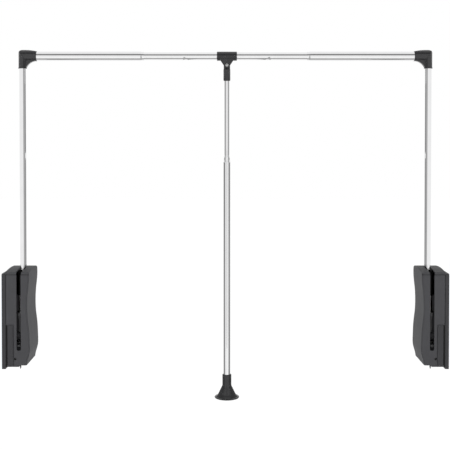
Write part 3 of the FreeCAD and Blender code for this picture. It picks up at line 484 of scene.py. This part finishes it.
def arm_ring(node, height, inset):
    """Ring of the arm's outer or inner form at a height above its lower end."""
    size = extent(node)
    thick = (pi * size.x - 2 * size.y) / (pi - 2)
    base = middle(node)
    blend = min(max((height - ARM_FLAT_TOP) / (ARM_ROUND - ARM_FLAT_TOP), 0), 1)
    blend = blend * blend * (3 - 2 * blend)
    ring = []
    for k in range(ARM_POINTS):
        flat = stadium_point(k / ARM_POINTS, thick - 2 * inset, size.y - 2 * inset)
        point = flat.lerp(circle_point(k / ARM_POINTS, size.x / 2 - inset), blend)
        ring.append(Vector((base.x + point.x, base.y + point.y, low(node).z + height)))
    return ring


rise = ARM_ROUND - ARM_FLAT_TOP
change = [ARM_FLAT_TOP + rise * k / ARM_STEPS for k in range(ARM_STEPS + 1)]
for side in SIDES:
    node = side + "_arm_tube"
    length = extent(node).z
    heights = [0, 0.3 * MM, ARM_FLAT_TOP / 2] + change + [length * 0.5, length - 0.5 * MM, length]
    outer = [arm_ring(node, height, 0) for height in heights]
    inner = [arm_ring(node, height, ARM_WALL) for height in reversed(heights)]
    settle(shell(side + "_arm_chrome", outer + inner, chrome), "chrome", node)

# %% [markdown]
# ## Pieces that follow a rule
# What repeats or follows a rule is grown by Geometry Nodes. Every tree has named inputs for its
# sizes and ends in real geometry with its material. It runs on a holder that is thrown away, and
# its result is kept as a plain mesh.


# %% Start, end and run a tree
def start_tree(name, **inputs):
    """New geometry tree with the named inputs, a geometry and a material. Returns their wires."""
    tree = bpy.data.node_groups.new(name, "GeometryNodeTree")
    face = tree.interface
    for label, kind in {"Geometry": "Geometry", **inputs, "Material": "Material"}.items():
        face.new_socket(label.replace("_", " "), in_out="INPUT", socket_type="NodeSocket" + kind)
    face.new_socket("Geometry", in_out="OUTPUT", socket_type="NodeSocketGeometry")
    entry = tree.nodes.new("NodeGroupInput")
    return {socket.name: Wire(tree, socket) for socket in entry.outputs if socket.name}


def end_tree(geometry, material):
    """Realizes instances, sets the material, links the tree's output and returns the tree."""
    real = geometry.node("GeometryNodeRealizeInstances", None, {0: geometry})
    dressed = real.node("GeometryNodeSetMaterial", None, {"Geometry": real, "Material": material})
    tree = geometry.tree
    tree.links.new(dressed.socket, tree.nodes.new("NodeGroupOutput").inputs[0])
    print(tree.name, len(tree.nodes), "nodes")
    return tree


def evaluated_mesh(thing):
    """Plain mesh of an object with its modifiers applied."""
    depsgraph = bpy.context.evaluated_depsgraph_get()
    return bpy.data.meshes.new_from_object(thing.evaluated_get(depsgraph))


def grow(name, tree, values, seed=None):
    """Runs a tree on a seed mesh, or on an empty one, and returns the result as a mesh object."""
    holder = add_object(name + "_holder", seed or bpy.data.meshes.new(name + "_seed"))
    modifier = holder.modifiers.new("grow", "NODES")
    modifier.node_group = tree
    for item in tree.interface.items_tree:
        if item.in_out == "INPUT" and item.name in values:
            modifier[item.identifier] = values[item.name]
    result = evaluated_mesh(holder)
    result.name = name
    bpy.data.objects.remove(holder)
    return add_object(name, result)


print("tree helpers ready")

# %% [markdown]
# Five straight tubes slide in each other. All have an outer wall and a bore, and some have a neck that
# is drawn in to guide the next tube. One tree makes them all. It starts from a grid, reads its UVs as
# "how far round" and "how far along", and bends the grid into a wall that runs out along the outside
# and back along the bore.

# %% A tree for drawn tubes
PIPE_SIDES = 96
PIPE_ROWS = 160
MERGE = 0.002 * MM          # points closer than this are joined


def make_pipe_tree():
    """Tube along +Z from the origin, with a drawn-in neck at its far end."""
    value = start_tree(
        "drawn_tube", Radius="Float", Wall="Float", Length="Float",
        Neck_radius="Float", Neck="Float", Taper="Float",
    )
    outer, length = value["Radius"], value["Length"]
    steps = 2 * PIPE_ROWS + 2
    size = {"Vertices X": PIPE_SIDES + 1, "Vertices Y": steps + 1, "Size X": 1.0, "Size Y": 1.0}
    grid = outer.node("GeometryNodeMeshGrid", None, size)
    uv = grid.out(1).node("ShaderNodeSeparateXYZ", None, {0: grid.out(1)})
    turn = uv * (2 * pi)
    step = uv.out(1) * steps
    inside = step > PIPE_ROWS + 0.5
    along = (steps - 1 - step) * inside + step * (1 - inside)
    height = along.maximum(0) / PIPE_ROWS * length
    start = length - value["Neck"] - value["Taper"]
    reach = {0: height, 1: start, 2: start + value["Taper"]}
    share = height.node("ShaderNodeMapRange", {"interpolation_type": "SMOOTHSTEP"}, reach)
    drawn = outer - share * (outer - value["Neck radius"])
    radius = drawn - inside * value["Wall"]
    place = radius.vector(turn.cosine() * radius, turn.sine() * radius, height)
    bent = grid.node("GeometryNodeSetPosition", None, {"Geometry": grid, "Position": place})
    merged = {"Geometry": bent, "Distance": MERGE}
    return end_tree(bent.node("GeometryNodeMergeByDistance", None, merged), value["Material"])


pipe_tree = make_pipe_tree()

# %% [markdown]
# The rail is three tubes in line. The outer two start in the elbows and are drawn in where the
# thinner tube slides into them. Each tube grows along +Z at the origin, and its mesh is then turned
# along the rail and moved into place, so that the finished object itself stays at the origin.

# %% Rail and handle tubes
RAIL_WALL = 1.2 * MM
HANDLE_WALL = 1.0 * MM
RAIL_NECK = (23.2 / 2 * MM, 4 * MM, 6 * MM)         # radius, length and taper
HANDLE_NECK = (16.4 / 2 * MM, 5 * MM, 6 * MM)
NO_NECK = (None, 0, 1 * MM)


def turn_to(axis):
    """Matrix that turns +Z to an axis."""
    return Vector((0, 0, 1)).rotation_difference(Vector(axis)).to_matrix().to_4x4()


def make_pipe(name, node, axis, wall, neck=NO_NECK):
    """Drawn tube in the place of a node, its neck towards the axis given."""
    size = extent(node)
    axis = Vector(axis)
    length = abs(axis.dot(size))
    radius = (size.x + size.y + size.z - length) / 4
    values = {"Radius": radius, "Wall": wall, "Length": length, "Material": chrome}
    values.update({"Neck radius": neck[0] or radius, "Neck": neck[1], "Taper": neck[2]})
    piece = grow(name, pipe_tree, values)
    start = middle(node) - axis * length / 2
    piece.data.transform(Matrix.Translation(start) @ turn_to(axis))
    finish_mesh(piece, chrome)
    return piece


for side, inwards in SIDES.items():
    node = side + "_rail_tube"
    rail_tube = make_pipe(side + "_rail_chrome", node, (inwards, 0, 0), RAIL_WALL, RAIL_NECK)
    settle(rail_tube, "chrome", node)

rail_core = make_pipe("rail_core_chrome", "rail_core", (1, 0, 0), RAIL_WALL)
settle(rail_core, "chrome", "rail_core")
thin_tube = make_pipe("handle_thin_chrome", "handle_upper_tube", (0, 0, -1), HANDLE_WALL)
settle(thin_tube, "chrome", "handle_upper_tube")

# %% [markdown]
# The thick tube of the handle has a row of holes that a snap button springs into. Repeating cuts are
# also a job for Geometry Nodes: a line of points, a short rod on each, and one boolean that takes
# them all away. The grid of the tube is fine enough that the boolean only touches small faces, so
# the mirror finish stays calm around each hole.

# %% Row of adjusting holes
HOLE_RADIUS = 2.5 * MM
HOLE_PITCH = 38 * MM
HOLE_FIRST = 28 * MM        # tube's upper end to its first hole
HOLE_COUNT = 11
HOLE_REACH = 8 * MM         # length of the rod that cuts a hole, half of it inside the tube


def combine(operation, first, *others):
    """Exact boolean. A difference takes the others from the first. The rest treat all alike."""
    settings = {"operation": operation, "solver": "EXACT"}
    inputs = {"Mesh 2": [first, *others]}
    if operation == "DIFFERENCE":
        inputs = {"Mesh 1": first, "Mesh 2": list(others)}
    return first.node("GeometryNodeMeshBoolean", settings, inputs)


def rod(vertices, radius, depth):
    """A round rod about the origin, along Z."""
    size = {"Vertices": vertices, "Radius": radius, "Depth": depth}
    return radius.node("GeometryNodeMeshCylinder", None, size)


def make_hole_tree():
    """Takes a row of round holes out of one side of a tube."""
    value = start_tree(
        "row_of_holes", First="Vector", Pitch="Float", Count="Int", Radius="Float", Reach="Float"
    )
    step = value["Pitch"].vector(z=value["Pitch"] * -1)
    places = {"Count": value["Count"], "Start Location": value["First"], "Offset": step}
    row = step.node("GeometryNodeMeshLine", None, places)
    cutter = rod(48, value["Radius"], value["Reach"])
    lying = {"Points": row, "Instance": cutter, "Rotation": (0, pi / 2, 0)}
    cutters = row.node("GeometryNodeInstanceOnPoints", None, lying)
    real = cutters.node("GeometryNodeRealizeInstances", None, {0: cutters})
    return end_tree(combine("DIFFERENCE", value["Geometry"], real), value["Material"])


plain_tube = make_pipe("thick_tube_plain", "handle_lower_tube", (0, 0, 1), HANDLE_WALL, HANDLE_NECK)
tube_foot, tube_top = low("handle_lower_tube").z, high("handle_lower_tube").z
first_hole = (high("handle_lower_tube").x, middle("handle_lower_tube").y, tube_top - HOLE_FIRST)
holes = {"First": first_hole, "Pitch": HOLE_PITCH, "Count": HOLE_COUNT, "Radius": HOLE_RADIUS}
holes.update({"Reach": HOLE_REACH, "Material": chrome})
thick_tube = grow("handle_thick_chrome", make_hole_tree(), holes, plain_tube.data)
bpy.data.objects.remove(plain_tube)
finish_mesh(thick_tube, chrome, crease=30)
settle(thick_tube, "chrome", "handle_lower_tube")

# %% [markdown]
# ## Moulded pieces from the engineering mesh
# The outlines of the moulded pieces are already right in the engineering model, so they are dressed
# copies of it. Its mesh is loose triangles, which are merged first. Each modifier is applied as soon
# as it is set, so a finished piece is a plain mesh.


# %% Copies
def merged_copy(node):
    """Copy of a node's mesh with its loose triangles merged."""
    mesh = frame["nodes"][node].data.copy()
    mesh.name = node + "_look"
    with editing(mesh) as work:
        bmesh.ops.remove_doubles(work, verts=work.verts, dist=MERGE)
    if mesh.has_custom_normals:
        mesh.attributes.remove(mesh.attributes["custom_normal"])
    return add_object(mesh.name, mesh)


def modify(piece, kind, **settings):
    """Gives the piece a modifier and applies it to its mesh."""
    modifier = piece.modifiers.new(kind, kind)
    for key, value in settings.items():
        setattr(modifier, key, value)
    result = evaluated_mesh(piece)
    piece.modifiers.clear()
    piece.data = result


print("copy helpers ready")

# %% [markdown]
# The engineering model's edges are razor sharp, and a real moulding has small rounds that catch the
# light. So the copy's flat faces are joined back into single polygons, and a narrow bevel rounds
# every edge. Weighted normals keep the flat faces flat next to the rounds. The outer case and the
# inner cover first get a shallow groove under the top edge, cut level through both by a boolean.

# %% Rounded copies
FLAT = 0.3                  # degrees between faces that are one flat face
CORNER = 40                 # degrees from which an edge gets a round
GROOVE = (175.1 * MM, 176.6 * MM, 1.0 * MM)     # from, to, depth


def cut_groove(piece, low_z, high_z, depth):
    """A level groove across the front of a piece."""
    near = min(corner[1] for corner in piece.bound_box)
    x0, x1 = cad_box[0][0], cad_box[1][0]
    spread = Vector((x1 - x0, 2 * depth, high_z - low_z))
    place = Vector(((x0 + x1) / 2, near, (low_z + high_z) / 2))
    mesh = bpy.data.meshes.new(piece.name + "_cutter")
    with editing(mesh) as work:
        bmesh.ops.create_cube(work, size=1)
        for vertex in work.verts:
            vertex.co = vertex.co * spread + place
    cutter = add_object(mesh.name, mesh)
    modify(piece, "BOOLEAN", object=cutter, operation="DIFFERENCE", solver="EXACT")
    bpy.data.objects.remove(cutter)


def soften_edges(node, width, material, slot, groove):
    """A node's merged copy with a narrow round along its edges."""
    piece = merged_copy(node)
    if groove:
        cut_groove(piece, *groove)
    with editing(piece.data) as work:
        flat = {"angle_limit": radians(FLAT), "use_dissolve_boundaries": False}
        bmesh.ops.dissolve_limit(work, verts=work.verts, edges=work.edges, **flat)
    corners = {"limit_method": "ANGLE", "angle_limit": radians(CORNER), "miter_outer": "MITER_ARC"}
    modify(piece, "BEVEL", width=width, segments=2, use_clamp_overlap=True, **corners)
    finish_mesh(piece, material, crease=50)
    modify(piece, "WEIGHTED_NORMAL", keep_sharp=True)
    settle(piece, slot, node)


ROUNDED = {                 # width of the round in mm, finish, material slot, groove
    "wall_plate": (0.4, plate_plastic, "housing_plastic", None),
    "outer_case": (0.4, housing_plastic, "housing_plastic", GROOVE),
    "inner_cover": (0.5, housing_plastic, "housing_plastic", GROOVE),
    "lower_cap": (0.25, plate_plastic, "housing_plastic", None),
    "lever": (0.4, black_steel, "black_steel", None),
    "carriage": (0.4, nylon, "nylon", None),
}
for side in SIDES:
    for part, (width, material, slot, groove) in ROUNDED.items():
        soften_edges(side + "_" + part, width * MM, material, slot, groove)

# %% [markdown]
# ## Blended mouldings
# Elbows, tee and handle socket have no flat faces to speak of: their forms run into each other. A
# voxel remesh turns the engineering mesh into an even skin, and smoothing melts its sharp creases
# into soft fillets.

# %% Elbows, tee and socket
VOXEL = 0.45 * MM
PASSES = 2


def melt(node):
    """A connector's merged copy as an even skin with soft creases."""
    piece = merged_copy(node)
    modify(piece, "REMESH", mode="VOXEL", voxel_size=VOXEL)
    modify(piece, "SMOOTH", factor=0.5, iterations=PASSES)
    finish_mesh(piece, connector_plastic, crease=60)
    settle(piece, "connector_plastic", node)


for node in ("left_elbow", "right_elbow", "tee", "handle_socket"):
    melt(node)

# %% [markdown]
# ## The grip
# The grip is a bell on a straight neck, turned in one piece, so it is a profile spun about its axis.
# The neck opens into a straight cone, and a Bezier curve takes the cone over into the flat thin brim
# that fingers hook over. The profile goes on round the rim, up the dish underneath and into the
# bore, so the bell is a closed solid. Its numbers are pairs of a radius and a drop from the top.

# %% Bell grip, in mm
NECK_R = 12.2
NECK = 30.0                 # straight part, down from the top
TOP_ROUND = 1.5             # round of the neck's top edge
SHOULDER = (22.6, 51.5)     # radius and drop where the cone gives way to the brim
RIM_R = 33.3
RIM_ROUND = 2.0
RIM_DROP = 60.0
FOOT_R = RIM_R - RIM_ROUND - 5.0        # ring that the grip stands on
BORE_R = 9.02
BORE = 40.0
SCREW_HOLE_R = 2.5
RECESS_R = 5.8
RECESS = 6.5                # from the foot up to the seat of the grip's screw
GRIP_POINTS = 128


def bezier(a, b, c, d, steps):
    """Points of a cubic Bezier curve, without its first point."""
    points = []
    for k in range(1, steps + 1):
        t = k / steps
        u = 1 - t
        weights = (u * u * u, 3 * u * u * t, 3 * u * t * t, t * t * t)
        points.append(tuple(sum(w * p[i] for w, p in zip(weights, (a, b, c, d))) for i in (0, 1)))
    return points


def rounding(centre, radius, start, end, steps):
    """Points of an arc given by its centre, radii and two angles in degrees."""
    points = []
    for k in range(steps + 1):
        a = radians(start + (end - start) * k / steps)
        points.append((centre[0] + radius[0] * cos(a), centre[1] + radius[1] * sin(a)))
    return points


def grip_profile(total):
    """Closed profile of the bell, out along the outside and back through the bore."""
    neck_end = NECK - TOP_ROUND
    profile = [(BORE_R, 0.0)]
    profile += rounding((NECK_R - TOP_ROUND, TOP_ROUND), (TOP_ROUND, -TOP_ROUND), 90, 0, 6)
    profile += [(NECK_R, 10.0), (NECK_R, 20.0), (NECK_R, neck_end)]
    slope = Vector((SHOULDER[0] - NECK_R, SHOULDER[1] - NECK))
    cone = Vector((NECK_R, NECK)) + slope * 0.07
    handle = tuple(cone - slope * 0.04)
    profile += bezier((NECK_R, neck_end), (NECK_R, NECK - 0.5), handle, tuple(cone), 5)
    profile += [tuple(cone.lerp(Vector(SHOULDER), k / 8)) for k in range(1, 9)]
    rim_in = RIM_R - RIM_ROUND
    rim_half = (total - RIM_DROP) / 2
    leave = Vector(SHOULDER) + slope * 0.14
    profile += bezier(SHOULDER, tuple(leave), (rim_in - 3.7, RIM_DROP), (rim_in, RIM_DROP), 12)
    profile += rounding((rim_in, RIM_DROP + rim_half), (RIM_ROUND, rim_half), -90, 90, 10)[1:]
    dish = (RECESS_R, total - 2.9)
    profile += [(FOOT_R, total)]
    profile += bezier((FOOT_R, total), (FOOT_R - 4, total), (RECESS_R + 8, total - 2.6), dish, 8)
    seat = total - RECESS
    return profile + [(RECESS_R, seat), (SCREW_HOLE_R, seat), (SCREW_HOLE_R, BORE), (BORE_R, BORE)]


turns = [2 * pi * k / GRIP_POINTS for k in range(GRIP_POINTS)]
rings = []
for radius, drop in grip_profile(extent("grip").z / MM):
    reach, z = radius * MM, high("grip").z - drop * MM
    rings.append([Vector((handle_x + reach * cos(a), reach * sin(a), z)) for a in turns])
settle(shell("grip_bell", rings, connector_plastic), "connector_plastic", "grip")

# %% [markdown]
# ## Heads of screws, rivets and pins
# A small dome sits in seventeen places. Geometry Nodes stamp it: a seed mesh holds one vertex for
# each head and an attribute that says which way it faces. The tree makes one dome with its shank, cuts
# a cross recess if the input asks for it, and puts an instance on every vertex.


# %% A tree for heads
def moved(mesh, **inputs):
    """A Transform node, with its Scale or Translation."""
    return mesh.node("GeometryNodeTransform", None, {"Geometry": mesh, **inputs})


def make_head_tree():
    """Domed head, with or without a cross recess, on every vertex of the seed."""
    value = start_tree(
        "heads", Radius="Float", Height="Float", Cross="Bool", Shank_radius="Float", Shank="Float"
    )
    radius, height, shank = value["Radius"], value["Height"], value["Shank"]
    round_ball = {"Segments": 32, "Rings": 24, "Radius": 1.0}
    ball = radius.node("GeometryNodeMeshUVSphere", None, round_ball)
    dome = moved(ball, Scale=radius.vector(radius * 1.06, radius * 1.06, height))
    limit = moved(rod(48, radius, height * 3), Translation=radius.vector(z=height * 1.5))
    plain = combine("INTERSECT", dome, limit)
    up = radius.vector(z=height)
    crossed = plain
    for share_x, share_y in ((1.1, 0.24), (0.24, 1.1)):
        size = radius.vector(radius * share_x, radius * share_y, height)
        bar = moved(radius.node("GeometryNodeMeshCube", None, {"Size": size}), Translation=up)
        crossed = combine("DIFFERENCE", crossed, bar)
    choice = {"False": plain, "True": crossed, "Switch": value["Cross"]}
    head = plain.node("GeometryNodeSwitch", {"input_type": "GEOMETRY"}, choice)
    stem = rod(32, value["Shank radius"], shank + height * 0.2)
    stem = moved(stem, Translation=radius.vector(z=(height * 0.2 - shank) * 0.5))
    whole = combine("UNION", head, stem)
    named = {"data_type": "FLOAT_VECTOR"}
    facing = radius.node("GeometryNodeInputNamedAttribute", named, {"Name": "facing"})
    turn = facing.node("FunctionNodeAlignRotationToVector", {"axis": "Z"}, {"Vector": facing})
    spots = {"Points": value["Geometry"], "Instance": whole, "Rotation": turn}
    return end_tree(radius.node("GeometryNodeInstanceOnPoints", None, spots), value["Material"])


head_tree = make_head_tree()

# %% [markdown]
# Each group of heads gets its seed. The places come from the boxes of the nodes that it replaces, so
# a rivet stays where the engineering model has it.

# %% Rivets, screws and pins
Head = namedtuple("Head", "radius height shank_radius shank cross slot")    # shank is its length
RIVET = Head(4.0 * MM, 0.6 * MM, 2.45 * MM, 4.7 * MM, False, "steel")
ELBOW_SCREW = Head(3.5 * MM, 1.5 * MM, 1.95 * MM, 3.0 * MM, True, "steel")
CASE_SCREW = Head(3.2 * MM, 1.8 * MM, 1.7 * MM, 6.8 * MM, True, "black_steel")
TEE_PIN = Head(4.0 * MM, 1.4 * MM, 2.48 * MM, 9.4 * MM, False, "steel")
GRIP_SCREW = Head(5.5 * MM, 3 * MM, 2.45 * MM, 28 * MM, True, "steel")
SCREW_SEAT = 0.6 * MM       # arm tube to the flat seat in the elbow


def make_heads(name, head, node, spots):
    """Heads of one kind at (place, facing) pairs, for the node that they replace."""
    seed = bpy.data.meshes.new(name + "_seed")
    seed.from_pydata([place for place, facing in spots], [], [])
    attribute = seed.attributes.new("facing", "FLOAT_VECTOR", "POINT")
    for item, (place, facing) in zip(attribute.data, spots):
        item.vector = facing
    material = FINISHES[head.slot]
    values = {"Radius": head.radius, "Height": head.height, "Cross": head.cross}
    values.update({"Shank radius": head.shank_radius, "Shank": head.shank, "Material": material})
    piece = grow(name, head_tree, values, seed)
    finish_mesh(piece, material, crease=40)
    settle(piece, head.slot, node)


for side in SIDES:
    node = side + "_arm_rivets"
    spots = []
    for z in (low(node).z + RIVET.radius, high(node).z - RIVET.radius):
        spots.append(((high(node).x - RIVET.height, 0, z), (1, 0, 0)))
        spots.append(((low(node).x + RIVET.height, 0, z), (-1, 0, 0)))
    make_heads(side + "_rivet_heads", RIVET, node, spots)

    node = side + "_elbow_screws"
    arm_x = middle(side + "_arm_tube").x
    rail_end_x = low(node).x + high(node).x - arm_x
    seat_y = extent(side + "_arm_tube").x / 2 + SCREW_SEAT
    places = [(arm_x, seat_y, low(node).z + ELBOW_SCREW.radius)]
    places.append((rail_end_x, high(side + "_rail_tube").y, high(node).z - ELBOW_SCREW.radius))
    spots = [(place, (0, 1, 0)) for place in places]
    make_heads(side + "_elbow_screw_heads", ELBOW_SCREW, node, spots)

    node = side + "_case_screw"
    place = (middle(node).x, low(node).y + CASE_SCREW.height, middle(node).z)
    make_heads(side + "_case_screw_head", CASE_SCREW, node, [(place, (0, -1, 0))])

spots = []
for way, y in ((-1, low("tee_pin").y), (1, high("tee_pin").y)):
    spots.append(((handle_x, y - way * TEE_PIN.height, middle("tee_pin").z), (0, way, 0)))
make_heads("tee_pin_heads", TEE_PIN, "tee_pin", spots)

place = (handle_x, 0, low("grip_screw").z + GRIP_SCREW.height)
make_heads("grip_screw_head", GRIP_SCREW, "grip_screw", [(place, (0, 0, -1))])

# %% [markdown]
# The snap button stands on a tiny coil spring inside the thin tube. A coil follows a rule, too: a
# spiral curve with a round wire swept along it.

# %% Coil behind the snap button
COIL_WIRE = 0.3 * MM        # radius of the spring's wire
COIL_TURNS = 6.0


def make_coil_tree():
    """Spring along +Z from the origin."""
    value = start_tree("coil", Radius="Float", Wire="Float", Length="Float", Turns="Float")
    wire = value["Wire"]
    reach = value["Radius"] - wire
    size = {"Resolution": 24, "Rotations": value["Turns"], "Start Radius": reach, "End Radius": reach}
    size["Height"] = value["Length"] - wire * 2
    spiral = reach.node("GeometryNodeCurveSpiral", None, size)
    circle = reach.node("GeometryNodeCurvePrimitiveCircle", None, {"Resolution": 10, "Radius": wire})
    sweep = {"Curve": spiral, "Profile Curve": circle, "Fill Caps": True}
    return end_tree(spiral.node("GeometryNodeCurveToMesh", None, sweep), value["Material"])


coil_box = extent("button_spring")
coil_sizes = {"Radius": coil_box.y / 2, "Wire": COIL_WIRE, "Length": coil_box.x, "Turns": COIL_TURNS}
coil = grow("button_coil", make_coil_tree(), dict(coil_sizes, Material=steel))
coil_start = Vector((low("button_spring").x + COIL_WIRE, 0, middle("button_spring").z))
coil.data.transform(Matrix.Translation(coil_start) @ turn_to((1, 0, 0)))
finish_mesh(coil, steel, crease=60)
settle(coil, "steel", "button_spring")
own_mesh(coil)

# %% [markdown]
# ## Pieces that stay
# The small parts inside the housings are right as they are. They only get the finish of their slot.

# %% Finishes for the engineering nodes
for thing in frame["nodes"].values():
    for place in thing.material_slots:
        place.material = FINISHES[place.material.name.split(".")[0]]
print("finished", len(frame["nodes"]), "nodes")

# %% [markdown]
# ## Studio
# The object floats in front of a white background, as in a shop's picture. The background must be
# white in mirrors as well, or the chrome would show a grey room. The Light Path node tells the world
# which rays it answers: camera, mirror and see-through rays get plain white, and the rays that light
# the object get a softer level.

# %% World
WORLD_LEVEL = 0.36          # light that reaches the object from all round
WHITE = (1, 1, 1, 1)


def seen_directly(tree):
    """1 for rays from the camera, from mirrors and through glass."""
    rays = tree.nodes.new("ShaderNodeLightPath").outputs
    kinds = ("Is Camera Ray", "Is Glossy Ray", "Is Transmission Ray")
    straight, mirrored, refracted = [Wire(tree, rays[kind]) for kind in kinds]
    return straight.maximum(mirrored).maximum(refracted)


world = bpy.data.worlds.new("white_room")
world.use_nodes = True
background = world.node_tree.nodes["Background"].inputs
background["Color"].default_value = WHITE
strength = WORLD_LEVEL + seen_directly(world.node_tree) * (1 - WORLD_LEVEL)
world.node_tree.links.new(strength.socket, background["Strength"])
bpy.context.scene.world = world
print("world level", WORLD_LEVEL)

# %% [markdown]
# The floor is so far below the grip that the shadow is soft and faint. Its material mixes two
# shaders: an even white for what the camera sees, and a little diffuse grey that takes the shadow.

# %% Floor
FLOOR_DROP = 0.42           # the object's lowest point to the floor, in metres
FLOOR_HALF = 14.0           # half the floor's side, in metres
FLOOR_COLOUR = (0.45, 0.45, 0.45, 1)
FLOOR_ROUGHNESS = 0.9
FLOOR_SHADOW = 0.16         # share of the floor's look that takes the shadow
FLOOR_GLOW = 1.17           # white of the rest, over 1 to make up for that share


def add_sheet(name, corners, material):
    """Flat sheet with four corners."""
    mesh = bpy.data.meshes.new(name)
    mesh.from_pydata(corners, [], [(0, 1, 2, 3)])
    mesh.materials.append(material)
    return add_object(name, mesh)


material = bpy.data.materials.new("pale_floor")
material.use_nodes = True
tree = material.node_tree
plain = tree.nodes["Principled BSDF"]
plain.inputs["Base Color"].default_value = FLOOR_COLOUR
plain.inputs["Roughness"].default_value = FLOOR_ROUGHNESS
seen = seen_directly(tree)
glow = seen.node("ShaderNodeEmission", None, {"Color": WHITE, "Strength": FLOOR_GLOW})
inputs = {0: seen * (1 - FLOOR_SHADOW), 1: Wire(tree, plain.outputs[0]), 2: glow}
mixed = seen.node("ShaderNodeMixShader", None, inputs)
tree.links.new(mixed.socket, tree.nodes["Material Output"].inputs["Surface"])
floor_z = cad_box[0][2] - FLOOR_DROP
corners = [(x * FLOOR_HALF, y * FLOOR_HALF, floor_z) for x, y in ((-1, -1), (1, -1), (1, 1), (-1, 1))]
floor = add_sheet("floor", corners, material)
print("floor at", round(floor_z, 3), "m")

# %% [markdown]
# Four soft lamps: a weak wide one above, one far out at each side, and a small one at the camera that
# lights the depth of the slots. The side lamps stand nearly level with the rail, so the inner faces of
# the housings get more light than their fronts. Together they bring a mid-grey card to about the grey
# it is written as. Reflections leave them out, or they would burn white stripes into the tubes.

# %% Lamps
CAMERA_PLACE = Vector((0.5919, -2.455, 0.5393))
centre = (Vector(cad_box[0]) + Vector(cad_box[1])) / 2
LAMPS = {                   # place, width and height in metres, and watts
    "lamp_above": (centre + Vector((0.0, -2.4, 1.9)), (2.6, 1.2), 2),
    "lamp_left": (centre + Vector((-2.6, -0.8, 0.2)), (0.9, 2.2), 90),
    "lamp_front": (CAMERA_PLACE, (0.4, 0.4), 44),
    "lamp_right": (centre + Vector((2.6, -0.8, 0.2)), (0.9, 2.2), 90),
}


def add_lamp(name, place, size, power):
    """Soft lamp that faces the object's middle."""
    light = bpy.data.lights.new(name, "AREA")
    light.shape = "RECTANGLE"
    light.size, light.size_y = size
    light.energy = power
    lamp = add_object(name, light)
    lamp.location = place
    lamp.rotation_euler = (centre - place).to_track_quat("-Z", "Y").to_euler()
    lamp.visible_glossy = False


for name, lamp in LAMPS.items():
    add_lamp(name, *lamp)
print("lamps:", list(LAMPS))

# %% [markdown]
# A mirror in a white room is white all over and loses its shape. Photographers therefore stand dark
# flags just outside the picture: the tubes show them as dark lines along their sides, which say
# "round and polished". Only mirror rays see these flags, so they throw no shadow. Upright ones in
# the plane of the camera serve both arms: the camera and the rail see them edge on. Smaller ones
# stand beside the handle and end under the rail, which would show them. A thin strip stands in front
# of it, one flag hangs above the rail and one lies below.

# %% Flags for the chrome
FLAG_SOFT = 0.40            # grey of a flag
FLAG_DARK = 0.14
FLAG_TUBE = 0.26
FLAG_ABOVE = 0.22
FLAG_CLOTH = 0.1            # how far its weave lightens it
HANDLE_FLAG = 0.12          # handle to the flags beside it, in metres
FLAG_HALF = 2.0             # half the length of the flags along the rail


def add_flag(name, corners, grey):
    """Sheet that only mirror rays see."""
    material, place = start_finish(name)
    weave = noise(place, size=300)
    inputs = {"Color": WHITE, "Strength": grey + weave * FLAG_CLOTH}
    glow = weave.node("ShaderNodeEmission", None, inputs)
    tree = place.tree
    tree.links.new(glow.socket, tree.nodes["Material Output"].inputs["Surface"])
    flag = add_sheet(name, corners, material)
    for ray in ("camera", "diffuse", "shadow", "transmission"):
        setattr(flag, "visible_" + ray, False)


def upright(x, near, far, bottom, top):
    """Corners of a sheet square to the rail, between two values of Y and two of Z."""
    return [(x, near, bottom), (x, far, bottom), (x, far, top), (x, near, top)]


def along_rail(near, far, start, end):
    """Corners of a sheet along the rail, from one line in Y and Z to another."""
    x0, x1 = centre.x - FLAG_HALF, centre.x + FLAG_HALF
    return [(x0, near, start), (x1, near, start), (x1, far, end), (x0, far, end)]


flag_top = rail_z - 0.05
change = tube_top - 0.02    # height at which the flags beside the handle change
add_flag("flag_middle", upright(CAMERA_PLACE.x, -1.16, -0.06, -0.6, 0.9), FLAG_SOFT)
add_flag("flag_middle_back", upright(CAMERA_PLACE.x, 0.06, 0.38, tube_top, 0.9), FLAG_DARK)
for side, inwards in SIDES.items():
    x = handle_x - inwards * HANDLE_FLAG
    add_flag(f"flag_{side}_low", upright(x, -0.08, 0.30, tube_foot - 0.2, change), FLAG_TUBE)
    add_flag(f"flag_{side}_high", upright(x, -0.143, 0.0, change, flag_top), FLAG_SOFT)
    add_flag(f"flag_{side}_back", upright(x, 0.0, 0.049, tube_top, flag_top), FLAG_DARK)
strip = [(handle_x + x, -0.30, z) for x, z in ((-0.03, -0.1), (0.03, -0.1), (0.03, 0.5), (-0.03, 0.5))]
add_flag("flag_front", strip, FLAG_DARK)
add_flag("flag_above", along_rail(-1.3, -0.9, rail_z + 0.35, rail_z + 1.3), FLAG_ABOVE)
add_flag("flag_below", along_rail(-0.75, 0.35, rail_z - 1.2, rail_z - 1.2), FLAG_SOFT)

# %% [markdown]
# ## Camera
# A long lens from two and a half metres keeps the verticals upright and the sides only a little
# visible. The small downward shift of the frame shows the top of the housings from a raised eye
# while the tubes stay parallel.

# %% Camera
CAMERA_PITCH = 1.26         # degrees downwards
CAMERA_LENS = 72.54
CAMERA_SHIFT = -0.15

lens = bpy.data.cameras.new("camera")
lens.sensor_width = 36
lens.lens = CAMERA_LENS
lens.shift_y = CAMERA_SHIFT
lens.clip_end = 60
camera = add_object("camera", lens)
camera.location = CAMERA_PLACE
camera.rotation_euler = (radians(90 - CAMERA_PITCH), 0, 0)
bpy.context.scene.camera = camera
bpy.context.scene.view_settings.view_transform = "Standard"
print("lens", lens.lens, "mm")
